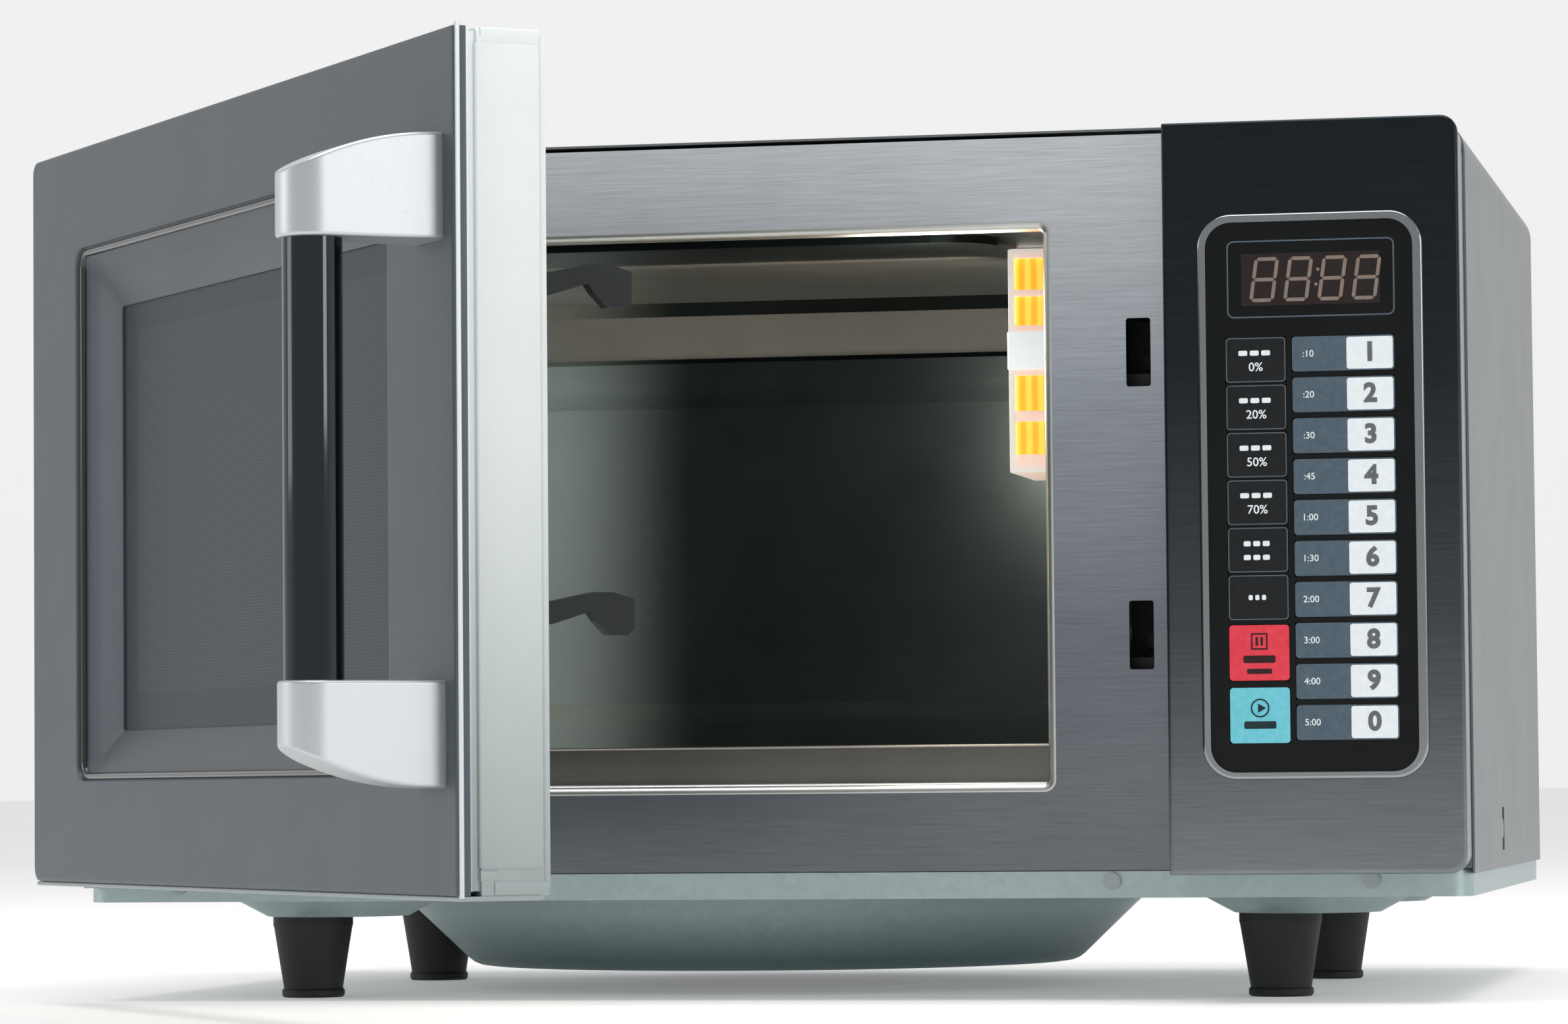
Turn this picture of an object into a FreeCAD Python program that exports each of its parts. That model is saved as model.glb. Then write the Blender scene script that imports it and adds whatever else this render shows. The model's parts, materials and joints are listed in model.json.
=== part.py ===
import FreeCAD, Part
import os
import re
import Sketcher

# A commercial flatbed microwave oven, door ajar, as separate sub-parts.
# Frame: X right, Y from the front to the back, Z up. The origin is on the surface that the
# feet stand on, midway between the four feet. Millimetres throughout.

os.makedirs("parts", exist_ok=True)
doc = FreeCAD.newDocument("microwave_oven")
Vector = FreeCAD.Vector

# ---------------------------------------------------------------- driving dimensions

DIMENSIONS = {
    # the case
    "case_wide": 511, "case_top": 311, "case_deep": 334, "case_bottom": 44.5, "front_y": -136,
    "sheet": 0.8, "case_round": 12, "case_gap": 0.2, "rear_sheet": 1,
    # the base pan, its bowl and its feet
    "pan_bottom": 36.5, "pan_top": 46, "pan_sheet": 1, "bowl_x": -32, "bowl_y": 45.5, "bowl_bottom": 8.6,
    "bowl_low_r": 118, "bowl_high_r": 147.2, "boss_bottom": 30.3, "boss_low_r": 26.5, "boss_high_r": 38,
    "boss_shift": 10, "foot_x": 181.5, "foot_y": 90,
    # the cavity and the opening in the front plate
    "mouth_left": -226, "mouth_right": 107, "mouth_bottom": 74.7, "mouth_top": 278.4, "mouth_round": 4,
    "plate_bottom": 46.3, "plate_top": 308.8, "ceiling": 281, "cavity_deep": 317, "shelf_top": 91.5,
    "shelf_thick": 5, "plinth_front": 13,
    # the slots for the two latch hooks
    "slot_left": 134.2, "slot_wide": 8.8, "slot_tall": 24.5, "slot_low": 117.6, "slot_high": 218.5,
    # the control panel
    "panel_left": 152, "panel_bottom": 45, "panel_top": 308.5, "panel_out": 33, "lip_deep": 4.6,
    "pad_left": 167.2, "pad_right": 239.6, "pad_bottom": 80.5, "pad_top": 272.7, "pad_round": 9,
    "bezel_wide": 3, "bezel_out": 1.3, "pad_thick": 3, "key_thick": 0.9, "key_room": 0.2, "key_sink": 1.9,
    "screen_left": 174.7, "screen_wide": 58.5, "screen_bottom": 239.1, "screen_tall": 27.1,
    "program_left": 174, "program_wide": 20.9, "program_tall": 15.6, "program_pitch": 16.6,
    "number_left": 197.2, "number_wide": 35.6, "number_tall": 12.2, "number_pitch": 14.27,
    "keys_top": 232.2, "stop_bottom": 112.5, "start_bottom": 90.7, "action_tall": 19.3,
    # the door, drawn closed and then swung to the angle it is left open at
    "door_wide": 406.5, "door_open": 52.77, "pivot_in": 5.25, "pivot_out": 15.3, "door_round": 5,
    "groove_deep": 8.3, "frame_deep": 29, "frame_drop": 1.4, "cover_deep": 31,
    "dish_left": 49, "dish_right": 352, "dish_bottom": 81, "dish_top": 272.5, "dish_deep": 11,
    "dish_slope": 20, "film_thick": 2.5,
    # the handle
    "grip_s": 387.5, "grip_out": 38.1, "grip_r": 9.2, "bracket_r": 11.1, "grip_low": 110.3,
    "grip_high": 243.9, "bracket_tall": 32.8, "bracket_tip": 19.6,
    # the hinge tongues and the latch hooks
    "pin_r": 2.5, "pin_fit": 0.05, "tongue_half": 5, "tongue_thick": 1.6, "hinge_high": 300,
    "hinge_low": 49.9, "hook_s": 392.6, "hook_thick": 4.4, "hook_spacing": 101,
}

sheet = doc.addObject("Spreadsheet::Sheet", "Dims")
for row, (word, value) in enumerate(DIMENSIONS.items(), start=1):
    sheet.set(f"A{row}", word)
    sheet.set(f"B{row}", str(value))
    sheet.setAlias(f"B{row}", word)
doc.recompute()


def size(word):
    """A driving dimension as a plain number, for the few things no expression can drive."""
    return float(sheet.get(word))


def formula(text):
    """Turn a formula written in dimension words into one that reads the sheet."""
    return re.sub(r"[a-z]+(_[a-z]+)*", lambda m: f"Dims.{m[0]}" if m[0] in DIMENSIONS else m[0], str(text))


# ---------------------------------------------------------------- ways to make a shape

def bind(obj, prop, text):
    obj.setExpression(prop, formula(text))


def put(obj, corner):
    """Drive an object's place from three formulas."""
    for axis, text in zip("xyz", corner):
        bind(obj, f"Placement.Base.{axis}", text)
    return obj


def block(name, measures, corner):
    """A box of three measures, with its low corner at the given formulas."""
    obj = doc.addObject("Part::Box", name)
    for prop, text in zip(("Length", "Width", "Height"), measures):
        bind(obj, prop, text)
    return put(obj, corner)


def span(name, low, high):
    """A box from one corner to the opposite one, all as formulas."""
    measures = [f"({b}) - ({a})" for a, b in zip(low, high)]
    return block(name, measures, low)


def turn(obj, axis):
    """Lay a round thing that is made along Z along another axis."""
    if axis == "y":
        obj.Placement.Rotation = FreeCAD.Rotation(Vector(1, 0, 0), -90)
    if axis == "x":
        obj.Placement.Rotation = FreeCAD.Rotation(Vector(0, 1, 0), 90)
    return obj


def rod(name, radius, length, start, axis="z"):
    """A round bar that starts at a point and runs along an axis."""
    obj = doc.addObject("Part::Cylinder", name)
    bind(obj, "Radius", radius)
    bind(obj, "Height", length)
    turn(obj, axis)
    return put(obj, start)


def cone(name, low_radius, high_radius, height, start):
    obj = doc.addObject("Part::Cone", name)
    bind(obj, "Radius1", low_radius)
    bind(obj, "Radius2", high_radius)
    bind(obj, "Height", height)
    return put(obj, start)


def fuse(name, pieces):
    obj = doc.addObject("Part::MultiFuse", name)
    obj.Shapes = pieces
    return obj


def cut(name, base, tools):
    """Take one or more tools away from a base."""
    obj = doc.addObject("Part::Cut", name)
    obj.Base = base
    obj.Tool = tools[0] if len(tools) == 1 else fuse(f"{name}_tools", tools)
    return obj


def group(name, pieces):
    obj = doc.addObject("Part::Compound", name)
    obj.Links = pieces
    return obj


def along(edge, axis):
    """Whether an edge is straight and runs along an axis."""
    if edge.Curve.TypeId != "Part::GeomLine":
        return False
    return abs(abs(edge.Curve.Direction.dot(axis)) - 1) < 1e-6


AXES = {"x": Vector(1, 0, 0), "y": Vector(0, 1, 0), "z": Vector(0, 0, 1)}


def soften(name, base, radius, axis, wanted=lambda middle: True, kind="Part::Fillet"):
    """Round (or bevel) the edges of a solid that run along an axis, at the middles asked for."""
    doc.recompute()
    obj = doc.addObject(kind, name)
    obj.Base = base
    radii = radius if isinstance(radius, tuple) else (radius, radius)
    edges = enumerate(base.Shape.Edges, start=1)
    obj.Edges = [(i, *radii) for i, e in edges if along(e, AXES[axis]) and wanted(e.CenterOfMass)]
    return obj


def soft_rim(name, base, radius, wanted):
    """Round the edges of any form whose middles are asked for."""
    doc.recompute()
    obj = doc.addObject("Part::Fillet", name)
    obj.Base = base
    obj.Edges = [(i, radius, radius) for i, e in enumerate(base.Shape.Edges, start=1) if wanted(e)]
    return obj


def pillow(name, low, high, radius, axis):
    """A box with its four edges along one axis rounded: a rounded plate or post."""
    return soften(name, span(f"{name}_block", low, high), radius, axis)


# ---------------------------------------------------------------- PartDesign helpers

def plane_of(body, role):
    return next(f for f in body.Origin.OriginFeatures if f.Role == role)


def sketch_on(body, role, name, offset="0"):
    """A sketch on one of a body's origin planes, lifted off it by a formula."""
    sketch = body.newObject("Sketcher::SketchObject", name)
    sketch.AttachmentSupport = [(plane_of(body, role), "")]
    sketch.MapMode = "FlatFace"
    bind(sketch, "AttachmentOffset.Base.z", offset)
    return sketch


def rectangle(sketch, corner, measures):
    """A rectangle with one corner at a point and its two measures, driven by formulas."""
    bind(sketch, "AttachmentOffset.Base.x", corner[0])
    bind(sketch, "AttachmentOffset.Base.y", corner[1])
    points = [Vector(0, 0), Vector(10, 0), Vector(10, 10), Vector(0, 10)]
    for a, b in zip(points, points[1:] + points[:1]):
        sketch.addGeometry(Part.LineSegment(a, b), False)
    for i in range(4):
        sketch.addConstraint(Sketcher.Constraint("Coincident", i, 2, (i + 1) % 4, 1))
    for i, direction in enumerate(("Horizontal", "Vertical", "Horizontal", "Vertical")):
        sketch.addConstraint(Sketcher.Constraint(direction, i))
    sketch.addConstraint(Sketcher.Constraint("Coincident", 0, 1, -1, 1))
    wide = sketch.addConstraint(Sketcher.Constraint("DistanceX", 0, 1, 0, 2, 10))
    tall = sketch.addConstraint(Sketcher.Constraint("DistanceY", 1, 1, 1, 2, 10))
    bind(sketch, f"Constraints[{wide}]", measures[0])
    bind(sketch, f"Constraints[{tall}]", measures[1])
    return sketch


def outline(sketch, points):
    """A closed outline through points, each driven to its place by two formulas."""
    for i in range(len(points)):
        start, end = Vector(i, i * i + 1), Vector(i + 1, (i + 1) ** 2 + 1)
        if i == len(points) - 1:
            end = Vector(0, 1)
        sketch.addGeometry(Part.LineSegment(start, end), False)
    for i, point in enumerate(points):
        sketch.addConstraint(Sketcher.Constraint("Coincident", i, 2, (i + 1) % len(points), 1))
    for i, point in enumerate(points):
        for kind, text in zip(("DistanceX", "DistanceY"), point):
            value = doc_value(text)
            index = sketch.addConstraint(Sketcher.Constraint(kind, -1, 1, i, 1, value))
            bind(sketch, f"Constraints[{index}]", text)
    return sketch


def doc_value(text):
    """The present value of a formula."""
    return float(sheet.evalExpression(formula(text)))


def grow(body, sketch, length, name, reverse=False):
    """Pad a sketch."""
    pad = body.newObject("PartDesign::Pad", name)
    pad.Profile = sketch
    pad.Reversed = reverse
    bind(pad, "Length", length)
    return pad


def sink(body, sketch, name, reverse=False):
    """Pocket a sketch right through, and check that it took something away."""
    doc.recompute()
    before = body.Shape.Volume
    pocket = body.newObject("PartDesign::Pocket", name)
    pocket.Profile = sketch
    pocket.Type = "ThroughAll"
    pocket.Midplane = True
    pocket.Reversed = reverse
    doc.recompute()
    assert body.Shape.Volume < before - 1e-3, f"{name} cuts nothing"
    return pocket


def round_edges(body, radius, name, wanted):
    """Fillet the edges of a body's present shape that a test picks."""
    doc.recompute()
    base = body.Tip
    names = [f"Edge{i}" for i, e in enumerate(base.Shape.Edges, start=1) if wanted(e)]
    fillet = body.newObject("PartDesign::Fillet", name)
    fillet.Base = (base, names)
    fillet.Radius = radius
    return fillet


def spun(name, points, centre):
    """A body turned about a vertical line through a point, from a half outline."""
    body = doc.addObject("PartDesign::Body", name)
    sketch = outline(sketch_on(body, "XZ_Plane", f"{name}_half"), points)
    turned = body.newObject("PartDesign::Revolution", f"{name}_turned")
    turned.Profile = sketch
    turned.ReferenceAxis = (sketch, ["V_Axis"])
    turned.Angle = 360
    return put(body, centre)


nodes = {}


def keep(node, obj):
    """Give a finished sub-part its name and put it on the list to write out."""
    obj.Label = node
    nodes[node] = obj
    return obj


# ---------------------------------------------------------------- case, rear panel and front plate

def upper_corner(middle):
    return middle.z > size("case_top") - 40


def make_case():
    """The outer case: one sheet folded over the top and down both sides."""
    low = ("-case_wide/2", "front_y", "case_bottom")
    high = ("case_wide/2", "front_y + case_deep", "case_top")
    outside = soften("case_outside", span("case_block", low, high), size("case_round"), "y", upper_corner)
    low = ("sheet - case_wide/2", "front_y - 1", "case_bottom - 1")
    high = ("case_wide/2 - sheet", "front_y + case_deep + 1", "case_top - sheet")
    inside = soften("case_inside", span("case_room", low, high), size("case_round") - size("sheet"),
                    "y", upper_corner)
    pans = []
    dimples = []
    for side in (-1, 1):
        wall = f"{side}*case_wide/2"
        pans.append(side_span(f"dimple_pan_{side + 1}", wall, side, ("0.4", "2.6"), 6, 9))
        dimples.append(side_span(f"dimple_{side + 1}", wall, side, ("-1", "1.8"), 5, 8))
    shell = fuse("case_with_pans", [cut("case_sheet", outside, [inside]), *pans])
    keep("case", cut("case_dimpled", shell, dimples))


def side_span(name, wall, side, depths, half_deep, half_tall):
    """A box in from one side wall, about the place of that side's screw."""
    ends = sorted((f"{wall} - ({side})*({depth})" for depth in depths), key=doc_value)
    return span(name, (ends[0], f"front_y + 135 - {half_deep}", f"59 - {half_tall}"),
                (ends[1], f"front_y + 135 + {half_deep}", f"59 + {half_tall}"))


def make_rear_panel():
    """The rear panel, with an exhaust grille of upright slots and a hole for the cord gland."""
    body = doc.addObject("PartDesign::Body", "rear_panel_body")
    face = sketch_on(body, "XZ_Plane", "rear_face", "-(front_y + case_deep)")
    rectangle(face, ("sheet + case_gap - case_wide/2", "pan_top + case_gap"),
              ("case_wide - 2*(sheet + case_gap)", "case_top - sheet - 2*case_gap - pan_top"))
    grow(body, face, "rear_sheet", "rear_blank")
    corner = size("case_round")
    round_edges(body, corner, "rear_corners", lambda e: along(e, AXES["y"]) and upper_corner(e.CenterOfMass))
    grille = rectangle(sketch_on(body, "XZ_Plane", "grille_slot"), ("120", "140"), ("4", "110"))
    slot = sink(body, grille, "grille_first_slot")
    pattern = body.newObject("PartDesign::LinearPattern", "grille")
    pattern.Originals = [slot]
    pattern.Direction = (grille, ["H_Axis"])
    pattern.Length = 120
    pattern.Occurrences = 16
    body.Tip = pattern
    hole = rod("gland_hole", "8", "20", ("205", "front_y + case_deep - 10", "75"), "y")
    keep("rear_panel", cut("rear_panel_sheet", body, [hole]))


def make_front_plate():
    """The stainless front plate, with the cavity's mouth, the latch slots and a hole for wiring.

    It is kept as five touching solids that meet at the slots' sides, so each one is a simple shape."""
    body = doc.addObject("PartDesign::Body", "front_plate")
    face = sketch_on(body, "XZ_Plane", "front_face", "-(front_y + sheet)")
    rectangle(face, ("sheet + case_gap - case_wide/2", "plate_bottom"),
              ("case_wide - 2*(sheet + case_gap)", "plate_top - plate_bottom"))
    grow(body, face, "sheet", "front_blank")
    corner = size("case_round") - size("sheet")
    round_edges(body, corner, "front_corners", lambda e: along(e, AXES["y"]) and upper_corner(e.CenterOfMass))
    mouth = rectangle(sketch_on(body, "XZ_Plane", "mouth"), ("mouth_left", "mouth_bottom"),
                      ("mouth_right - mouth_left", "mouth_top - mouth_bottom"))
    sink(body, mouth, "mouth_cut")
    wiring = rectangle(sketch_on(body, "XZ_Plane", "wiring"), ("175", "100"), ("55", "60"))
    sink(body, wiring, "wiring_cut")

    def mouth_corner(edge):
        at = edge.CenterOfMass
        near_x = min(abs(at.x - size("mouth_left")), abs(at.x - size("mouth_right"))) < 0.1
        near_z = min(abs(at.z - size("mouth_bottom")), abs(at.z - size("mouth_top"))) < 0.1
        return along(edge, AXES["y"]) and near_x and near_z

    round_edges(body, size("mouth_round"), "mouth_corners", mouth_corner)
    right_side = span("plate_right_side", ("slot_left", "front_y - 1", "0"),
                      ("case_wide", "front_y + 2", "400"))
    left_side = span("plate_left_side", ("-case_wide", "front_y - 1", "0"),
                     ("slot_left + slot_wide", "front_y + 2", "400"))
    parts = [cut("plate_left", body, [right_side]), cut("plate_right", body, [left_side])]
    heights = (("plate_bottom", "slot_low"), ("slot_low + slot_tall", "slot_high"),
               ("slot_high + slot_tall", "plate_top"))
    for i, (bottom, top) in enumerate(heights):
        parts.append(span(f"plate_between_slots_{i}", ("slot_left", "front_y", bottom),
                          ("slot_left + slot_wide", "front_y + sheet", top)))
    keep("front_plate", group("front_plate_parts", parts))


# ---------------------------------------------------------------- base pan and feet

def pan_solid(name, inset):
    """The outside of the base pan, or its inside when inset by the thickness of the sheet."""
    side = f"sheet + case_gap + {inset}"
    top = "pan_top" if inset == "0" else "pan_top + 5"
    low = (f"{side} - case_wide/2", f"front_y + 0.2 + {inset}", f"pan_bottom + {inset}")
    high = (f"case_wide/2 - ({side})", f"front_y + case_deep - 1.4 - ({inset})", top)
    tray = pillow(f"{name}_tray", low, high, 8, "z")
    reach = f"pan_bottom - bowl_bottom + {inset}"
    bowl = cone(f"{name}_bowl", f"bowl_low_r - {inset}", f"bowl_high_r - {inset}", reach,
                ("bowl_x", "bowl_y", f"bowl_bottom + {inset}"))
    doc.recompute()
    bowl = soft_rim(f"{name}_bowl_soft", bowl, 9, lambda e: e.CenterOfMass.z < 12 and e.Length > 300)
    rise = f"pan_bottom - boss_bottom + {inset}"
    bosses = []
    for i, (side_x, side_y) in enumerate(FEET):
        at = (f"{side_x}*foot_x + boss_shift", f"{side_y}*foot_y", f"boss_bottom + {inset}")
        bosses.append(cone(f"{name}_boss_{i}", f"boss_low_r - {inset}", f"boss_high_r - {inset}", rise, at))
    return fuse(f"{name}_whole", [tray, bowl, *bosses])


FEET = [(-1, -1), (1, -1), (-1, 1), (1, 1)]


def make_base():
    """The drawn base pan: a shallow tray, a deep round bowl and a boss over each foot."""
    keep("base_pan", cut("base_pan_sheet", pan_solid("pan_out", "0"), [pan_solid("pan_in", "pan_sheet")]))
    half = [("0", "0"), ("10.9", "0"), ("11.7", "0.8"), ("11.7", "2.6"), ("11", "3.4"), ("14.6", "26"),
            ("14.9", "27"), ("14.9", "boss_bottom - 0.02"), ("0", "boss_bottom - 0.02")]
    feet = [spun(f"foot_{i}", half, (f"{x}*foot_x", f"{y}*foot_y", "0")) for i, (x, y) in enumerate(FEET)]
    keep("feet", group("feet_group", feet))


# ---------------------------------------------------------------- cavity and antenna

def liner_solid(name, inset):
    """The outside of the cavity liner, or its room when inset by the sheet."""
    front = "front_y + sheet" if inset == "0" else "front_y - 1"
    low = (f"mouth_left - sheet + {inset}", front, f"mouth_bottom - sheet + {inset}")
    high = (f"mouth_right + sheet - ({inset})", f"front_y + cavity_deep - ({inset})",
            f"ceiling + sheet - ({inset})")
    solid = span(f"{name}_block", low, high)
    slope = (26, 30)
    rear = size("front_y") + size("cavity_deep") - 5

    def rear_top(middle):
        return middle.y > rear and middle.z > size("ceiling") - 5

    solid = soften(f"{name}_slope", solid, slope, "x", rear_top, "Part::Chamfer")
    radius = 8 if inset == "0" else 8 - size("sheet")
    return soften(f"{name}_soft", solid, radius, "z", lambda middle: middle.y > rear)


def make_cavity():
    """The welded stainless liner, its pressings, the glass-ceramic shelf and the lamp."""
    room = liner_solid("liner_in", "sheet")
    well = rod("liner_well_hole", "108", "20", ("bowl_x", "bowl_y", "mouth_bottom - 10"))
    lamp_hole = span("liner_lamp_hole", ("mouth_right - 5", "front_y + 50", "198"),
                     ("mouth_right + 5", "front_y + 92", "266"))
    shell = cut("liner_shell", liner_solid("liner_out", "0"), [room, well, lamp_hole])
    ring_low = ("mouth_left + 2", "front_y + plinth_front", "mouth_bottom")
    ring_high = ("mouth_right - 2", "front_y + cavity_deep - 4", "shelf_top - shelf_thick")
    ring = cut("plinth", pillow("plinth_block", ring_low, ring_high, 6, "z"),
               [span("plinth_room", ("bowl_x - 120", "front_y + 30", "mouth_bottom - 1"),
                     ("bowl_x + 120", "front_y + cavity_deep - 18", "shelf_top"))])
    roof = pillow("roof_pressing", ("-190", "front_y + 60", "ceiling - 3"),
                  ("75", "front_y + 255", "ceiling + 0.4"), 22, "z")
    back = pillow("back_pressing", ("-190", "front_y + cavity_deep - 3", "112"),
                  ("70", "front_y + cavity_deep - 0.4", "236"), 22, "y")
    keep("cavity_liner", fuse("cavity_liner_whole", [shell, ring, roof, back]))
    low = ("mouth_left + 3", "front_y + plinth_front + 1", "shelf_top - shelf_thick")
    high = ("mouth_right - 3", "front_y + cavity_deep - 5", "shelf_top")
    keep("shelf", pillow("shelf_plate", low, high, 6, "z"))


LAMP_WINDOWS = [(197.5, 209.6), (213.5, 226.5), (244.8, 255.5), (257.9, 269.5)]


def make_lamp():
    """The lamp's moulded cover stands off the cavity's right wall, with barred windows."""
    outside = pillow("lamp_box", ("mouth_right - 22", "front_y + 42", "191"),
                     ("mouth_right", "front_y + 100", "273"), 3, "z")
    room = span("lamp_room", ("mouth_right - 20", "front_y + 44", "193"),
                ("mouth_right + 1", "front_y + 98", "271"))
    tools = [room]
    for i, (low, high) in enumerate(LAMP_WINDOWS):
        tools.append(span(f"lamp_window_{i}", ("mouth_right - 18.5", "front_y + 40", str(low)),
                          ("mouth_right - 3", "front_y + 47", str(high))))
        tools.append(span(f"lamp_side_window_{i}", ("mouth_right - 24", "front_y + 50", str(low)),
                          ("mouth_right - 18", "front_y + 92", str(high))))
    keep("lamp_cover", cut("lamp_cover_shell", outside, tools))
    bulb = rod("bulb", "9", "12", ("mouth_right - 10", "front_y + 71", "232"), "x")
    holder = rod("lamp_socket", "12", "32", ("mouth_right + 2", "front_y + 71", "232"), "x")
    keep("lamp", fuse("lamp_whole", [bulb, holder]))


def make_antenna():
    """Below the shelf: a well, the waveguide that feeds it, and the turning antenna on its motor."""
    at = ("bowl_x", "bowl_y")
    well = cut("well_pan", rod("well_out", "112", "16", (*at, "57.9")),
               [rod("well_in", "111", "16", (*at, "58.9")), rod("well_mouth", "9", "10", (*at, "52"))])
    keep("antenna_well", well)
    duct = span("duct_out", ("bowl_x - 35", "bowl_y - 45", "39"), ("200", "bowl_y + 45", "57.9"))
    duct_room = span("duct_in", ("bowl_x - 34", "bowl_y - 44", "40"), ("199", "bowl_y + 44", "56.9"))
    holes = rod("duct_holes", "9", "40", (*at, "30"))
    feed = rod("feed_hole", "11", "10", ("160", "bowl_y", "52"))
    keep("waveguide", cut("waveguide_duct", duct, [duct_room, holes, feed]))
    blade = rod("antenna_disc", "92", "1.5", (*at, "66"))
    slots = []
    places = ((-70, -14, 44, 6), (20, -40, 8, 80), (-30, 30, 70, 8), (-40, -70, 50, 8))
    for i, (x, y, wide, deep) in enumerate(places):
        slots.append(span(f"antenna_slot_{i}", (f"bowl_x + {x}", f"bowl_y + {y}", "60"),
                          (f"bowl_x + {x + wide}", f"bowl_y + {y + deep}", "72")))
    shaft = rod("antenna_shaft", "4", "40", (*at, "27"))
    keep("antenna", fuse("antenna_whole", [cut("antenna_blade", blade, slots), shaft]))
    motor = rod("motor_can", "25", "22", (*at, "bowl_bottom + pan_sheet"))
    keep("antenna_motor", cut("antenna_motor_bored", motor, [rod("motor_bore", "4.05", "20", (*at, "25"))]))
    keep("motor_cover", rod("motor_cover_disc", "53.5", "1.4", (*at, "bowl_bottom - 1.4")))


# ---------------------------------------------------------------- power parts in the right-hand bay

def make_power():
    """The magnetron, the transformer, the capacitor and the cooling fan."""
    core = span("magnetron_core", ("125", "bowl_y - 38", "58"), ("205", "bowl_y + 38", "66"))
    top = span("magnetron_top", ("125", "bowl_y - 38", "122"), ("205", "bowl_y + 38", "140"))
    anode = rod("magnetron_anode", "22", "60", ("165", "bowl_y", "64"))
    fins = [span(f"magnetron_fin_{i}", ("128", "bowl_y - 34", f"72 + {i}*8"),
                 ("202", "bowl_y + 34", f"73.2 + {i}*8")) for i in range(6)]
    probe = rod("magnetron_probe", "9", "14", ("160", "bowl_y", "46"))
    keep("magnetron", fuse("magnetron_whole", [core, top, anode, probe, *fins]))
    iron = span("transformer_iron", ("125", "front_y + 40", "37.5"), ("215", "front_y + 110", "112"))
    coil = pillow("transformer_coil", ("138", "front_y + 26", "52"), ("202", "front_y + 124", "97"), 10, "y")
    keep("transformer", fuse("transformer_whole", [iron, coil]))
    can = pillow("capacitor_can", ("218", "front_y + 45", "37.5"), ("250", "front_y + 100", "120"), 14, "z")
    tabs = [span(f"capacitor_tab_{i}", ("231", f"front_y + {y}", "119"), ("237", f"front_y + {y + 1}", "130"))
            for i, y in enumerate((60, 85))]
    keep("capacitor", fuse("capacitor_whole", [can, *tabs]))
    fan_at = ("180", "200")
    frame = pillow("fan_frame", ("116", "front_y + 290", "140"), ("244", "front_y + 318", "262"), 8, "y")
    bore = rod("fan_bore", "56", "60", (fan_at[0], "front_y + 270", fan_at[1]), "y")
    arm = span("fan_arm", ("120", "front_y + 290", "196"), ("240", "front_y + 293", "204"))
    motor = rod("fan_motor_can", "24", "30", (fan_at[0], "front_y + 263", fan_at[1]), "y")
    keep("fan_frame", fuse("fan_frame_whole", [cut("fan_shroud", frame, [bore]), arm, motor]))
    body = doc.addObject("PartDesign::Body", "fan_blade")
    hub = sketch_on(body, "XZ_Plane", "hub", "0")
    hub.addGeometry(Part.Circle(Vector(0, 0, 0), Vector(0, 0, 1), 16), False)
    hub.addConstraint(Sketcher.Constraint("Radius", 0, 16))
    hub.addConstraint(Sketcher.Constraint("Coincident", 0, 3, -1, 1))
    grow(body, hub, "14", "hub_pad", True)
    vane = rectangle(sketch_on(body, "XZ_Plane", "vane"), ("12", "-9"), ("40", "18"))
    vane_pad = grow(body, vane, "2", "vane_pad", True)
    doc.recompute()
    pattern = body.newObject("PartDesign::PolarPattern", "vanes")
    pattern.Originals = [vane_pad]
    pattern.Axis = (hub, ["N_Axis"])
    pattern.Angle = 360
    pattern.Occurrences = 5
    body.Tip = pattern
    put(body, (fan_at[0], "front_y + 295", fan_at[1]))
    keep("fan_blade", body)


# ---------------------------------------------------------------- control panel

def make_panel():
    """A moulded housing under a brushed skin, with the keypad set in a bright bezel."""
    front = "front_y - panel_out"

    def right_side(middle):
        return middle.x > 200

    low = ("panel_left + sheet + 0.3", f"{front} + sheet", "panel_bottom + sheet + 0.3")
    high = ("case_wide/2 - sheet - 0.3", "front_y - 0.2", "panel_top - sheet - 0.3")
    solid = soften("housing_out", span("housing_block", low, high), 5.4, "y", right_side)
    room_low = ("panel_left + 4", f"{front} + sheet + 2.5 + 1.2", "panel_bottom + 4")
    room_high = ("case_wide/2 - 4", "front_y + 1", "panel_top - 4")
    window = span("housing_window", ("pad_left - 1", f"{front} - 1", "pad_bottom - 1"),
                  ("pad_right + 1", f"{front} + 10", "pad_top + 1"))
    room = span("housing_room", room_low, room_high)
    keep("panel_housing", cut("panel_housing_shell", solid, [room, window]))

    outer = soften("skin_out", span("skin_block", ("panel_left", front, "panel_bottom"),
                                    ("case_wide/2", f"{front} + lip_deep", "panel_top")), 6, "y", right_side)
    room_low = ("panel_left + sheet", f"{front} + sheet", "panel_bottom + sheet")
    room_high = ("case_wide/2 - sheet", f"{front} + lip_deep + 1", "panel_top - sheet")
    inner = soften("skin_in", span("skin_room", room_low, room_high), 5.2, "y", right_side)
    hole = pillow("skin_hole", ("pad_left - 0.6", f"{front} - 1", "pad_bottom - 0.6"),
                  ("pad_right + 0.6", f"{front} + 3", "pad_top + 0.6"), size("pad_round"), "y")
    keep("panel_skin", cut("panel_skin_sheet", outer, [inner, hole]))

    rim_low = ("pad_left - bezel_wide", f"{front} - bezel_out", "pad_bottom - bezel_wide + 0.5")
    rim_high = ("pad_right + bezel_wide + 0.5", front, "pad_top + bezel_wide")
    rim = pillow("bezel_out", rim_low, rim_high, size("pad_round") + size("bezel_wide"), "y")
    outermost = size("front_y") - size("panel_out") - 1
    rim = soft_rim("bezel_soft", rim, 1.1, lambda e: e.BoundBox.YMax < outermost)
    eye = pillow("bezel_eye", ("pad_left", f"{front} - 5", "pad_bottom"),
                 ("pad_right", f"{front} + 5", "pad_top"), size("pad_round"), "y")
    keep("keypad_bezel", cut("keypad_bezel_ring", rim, [eye]))
    make_keypad(front)


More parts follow.
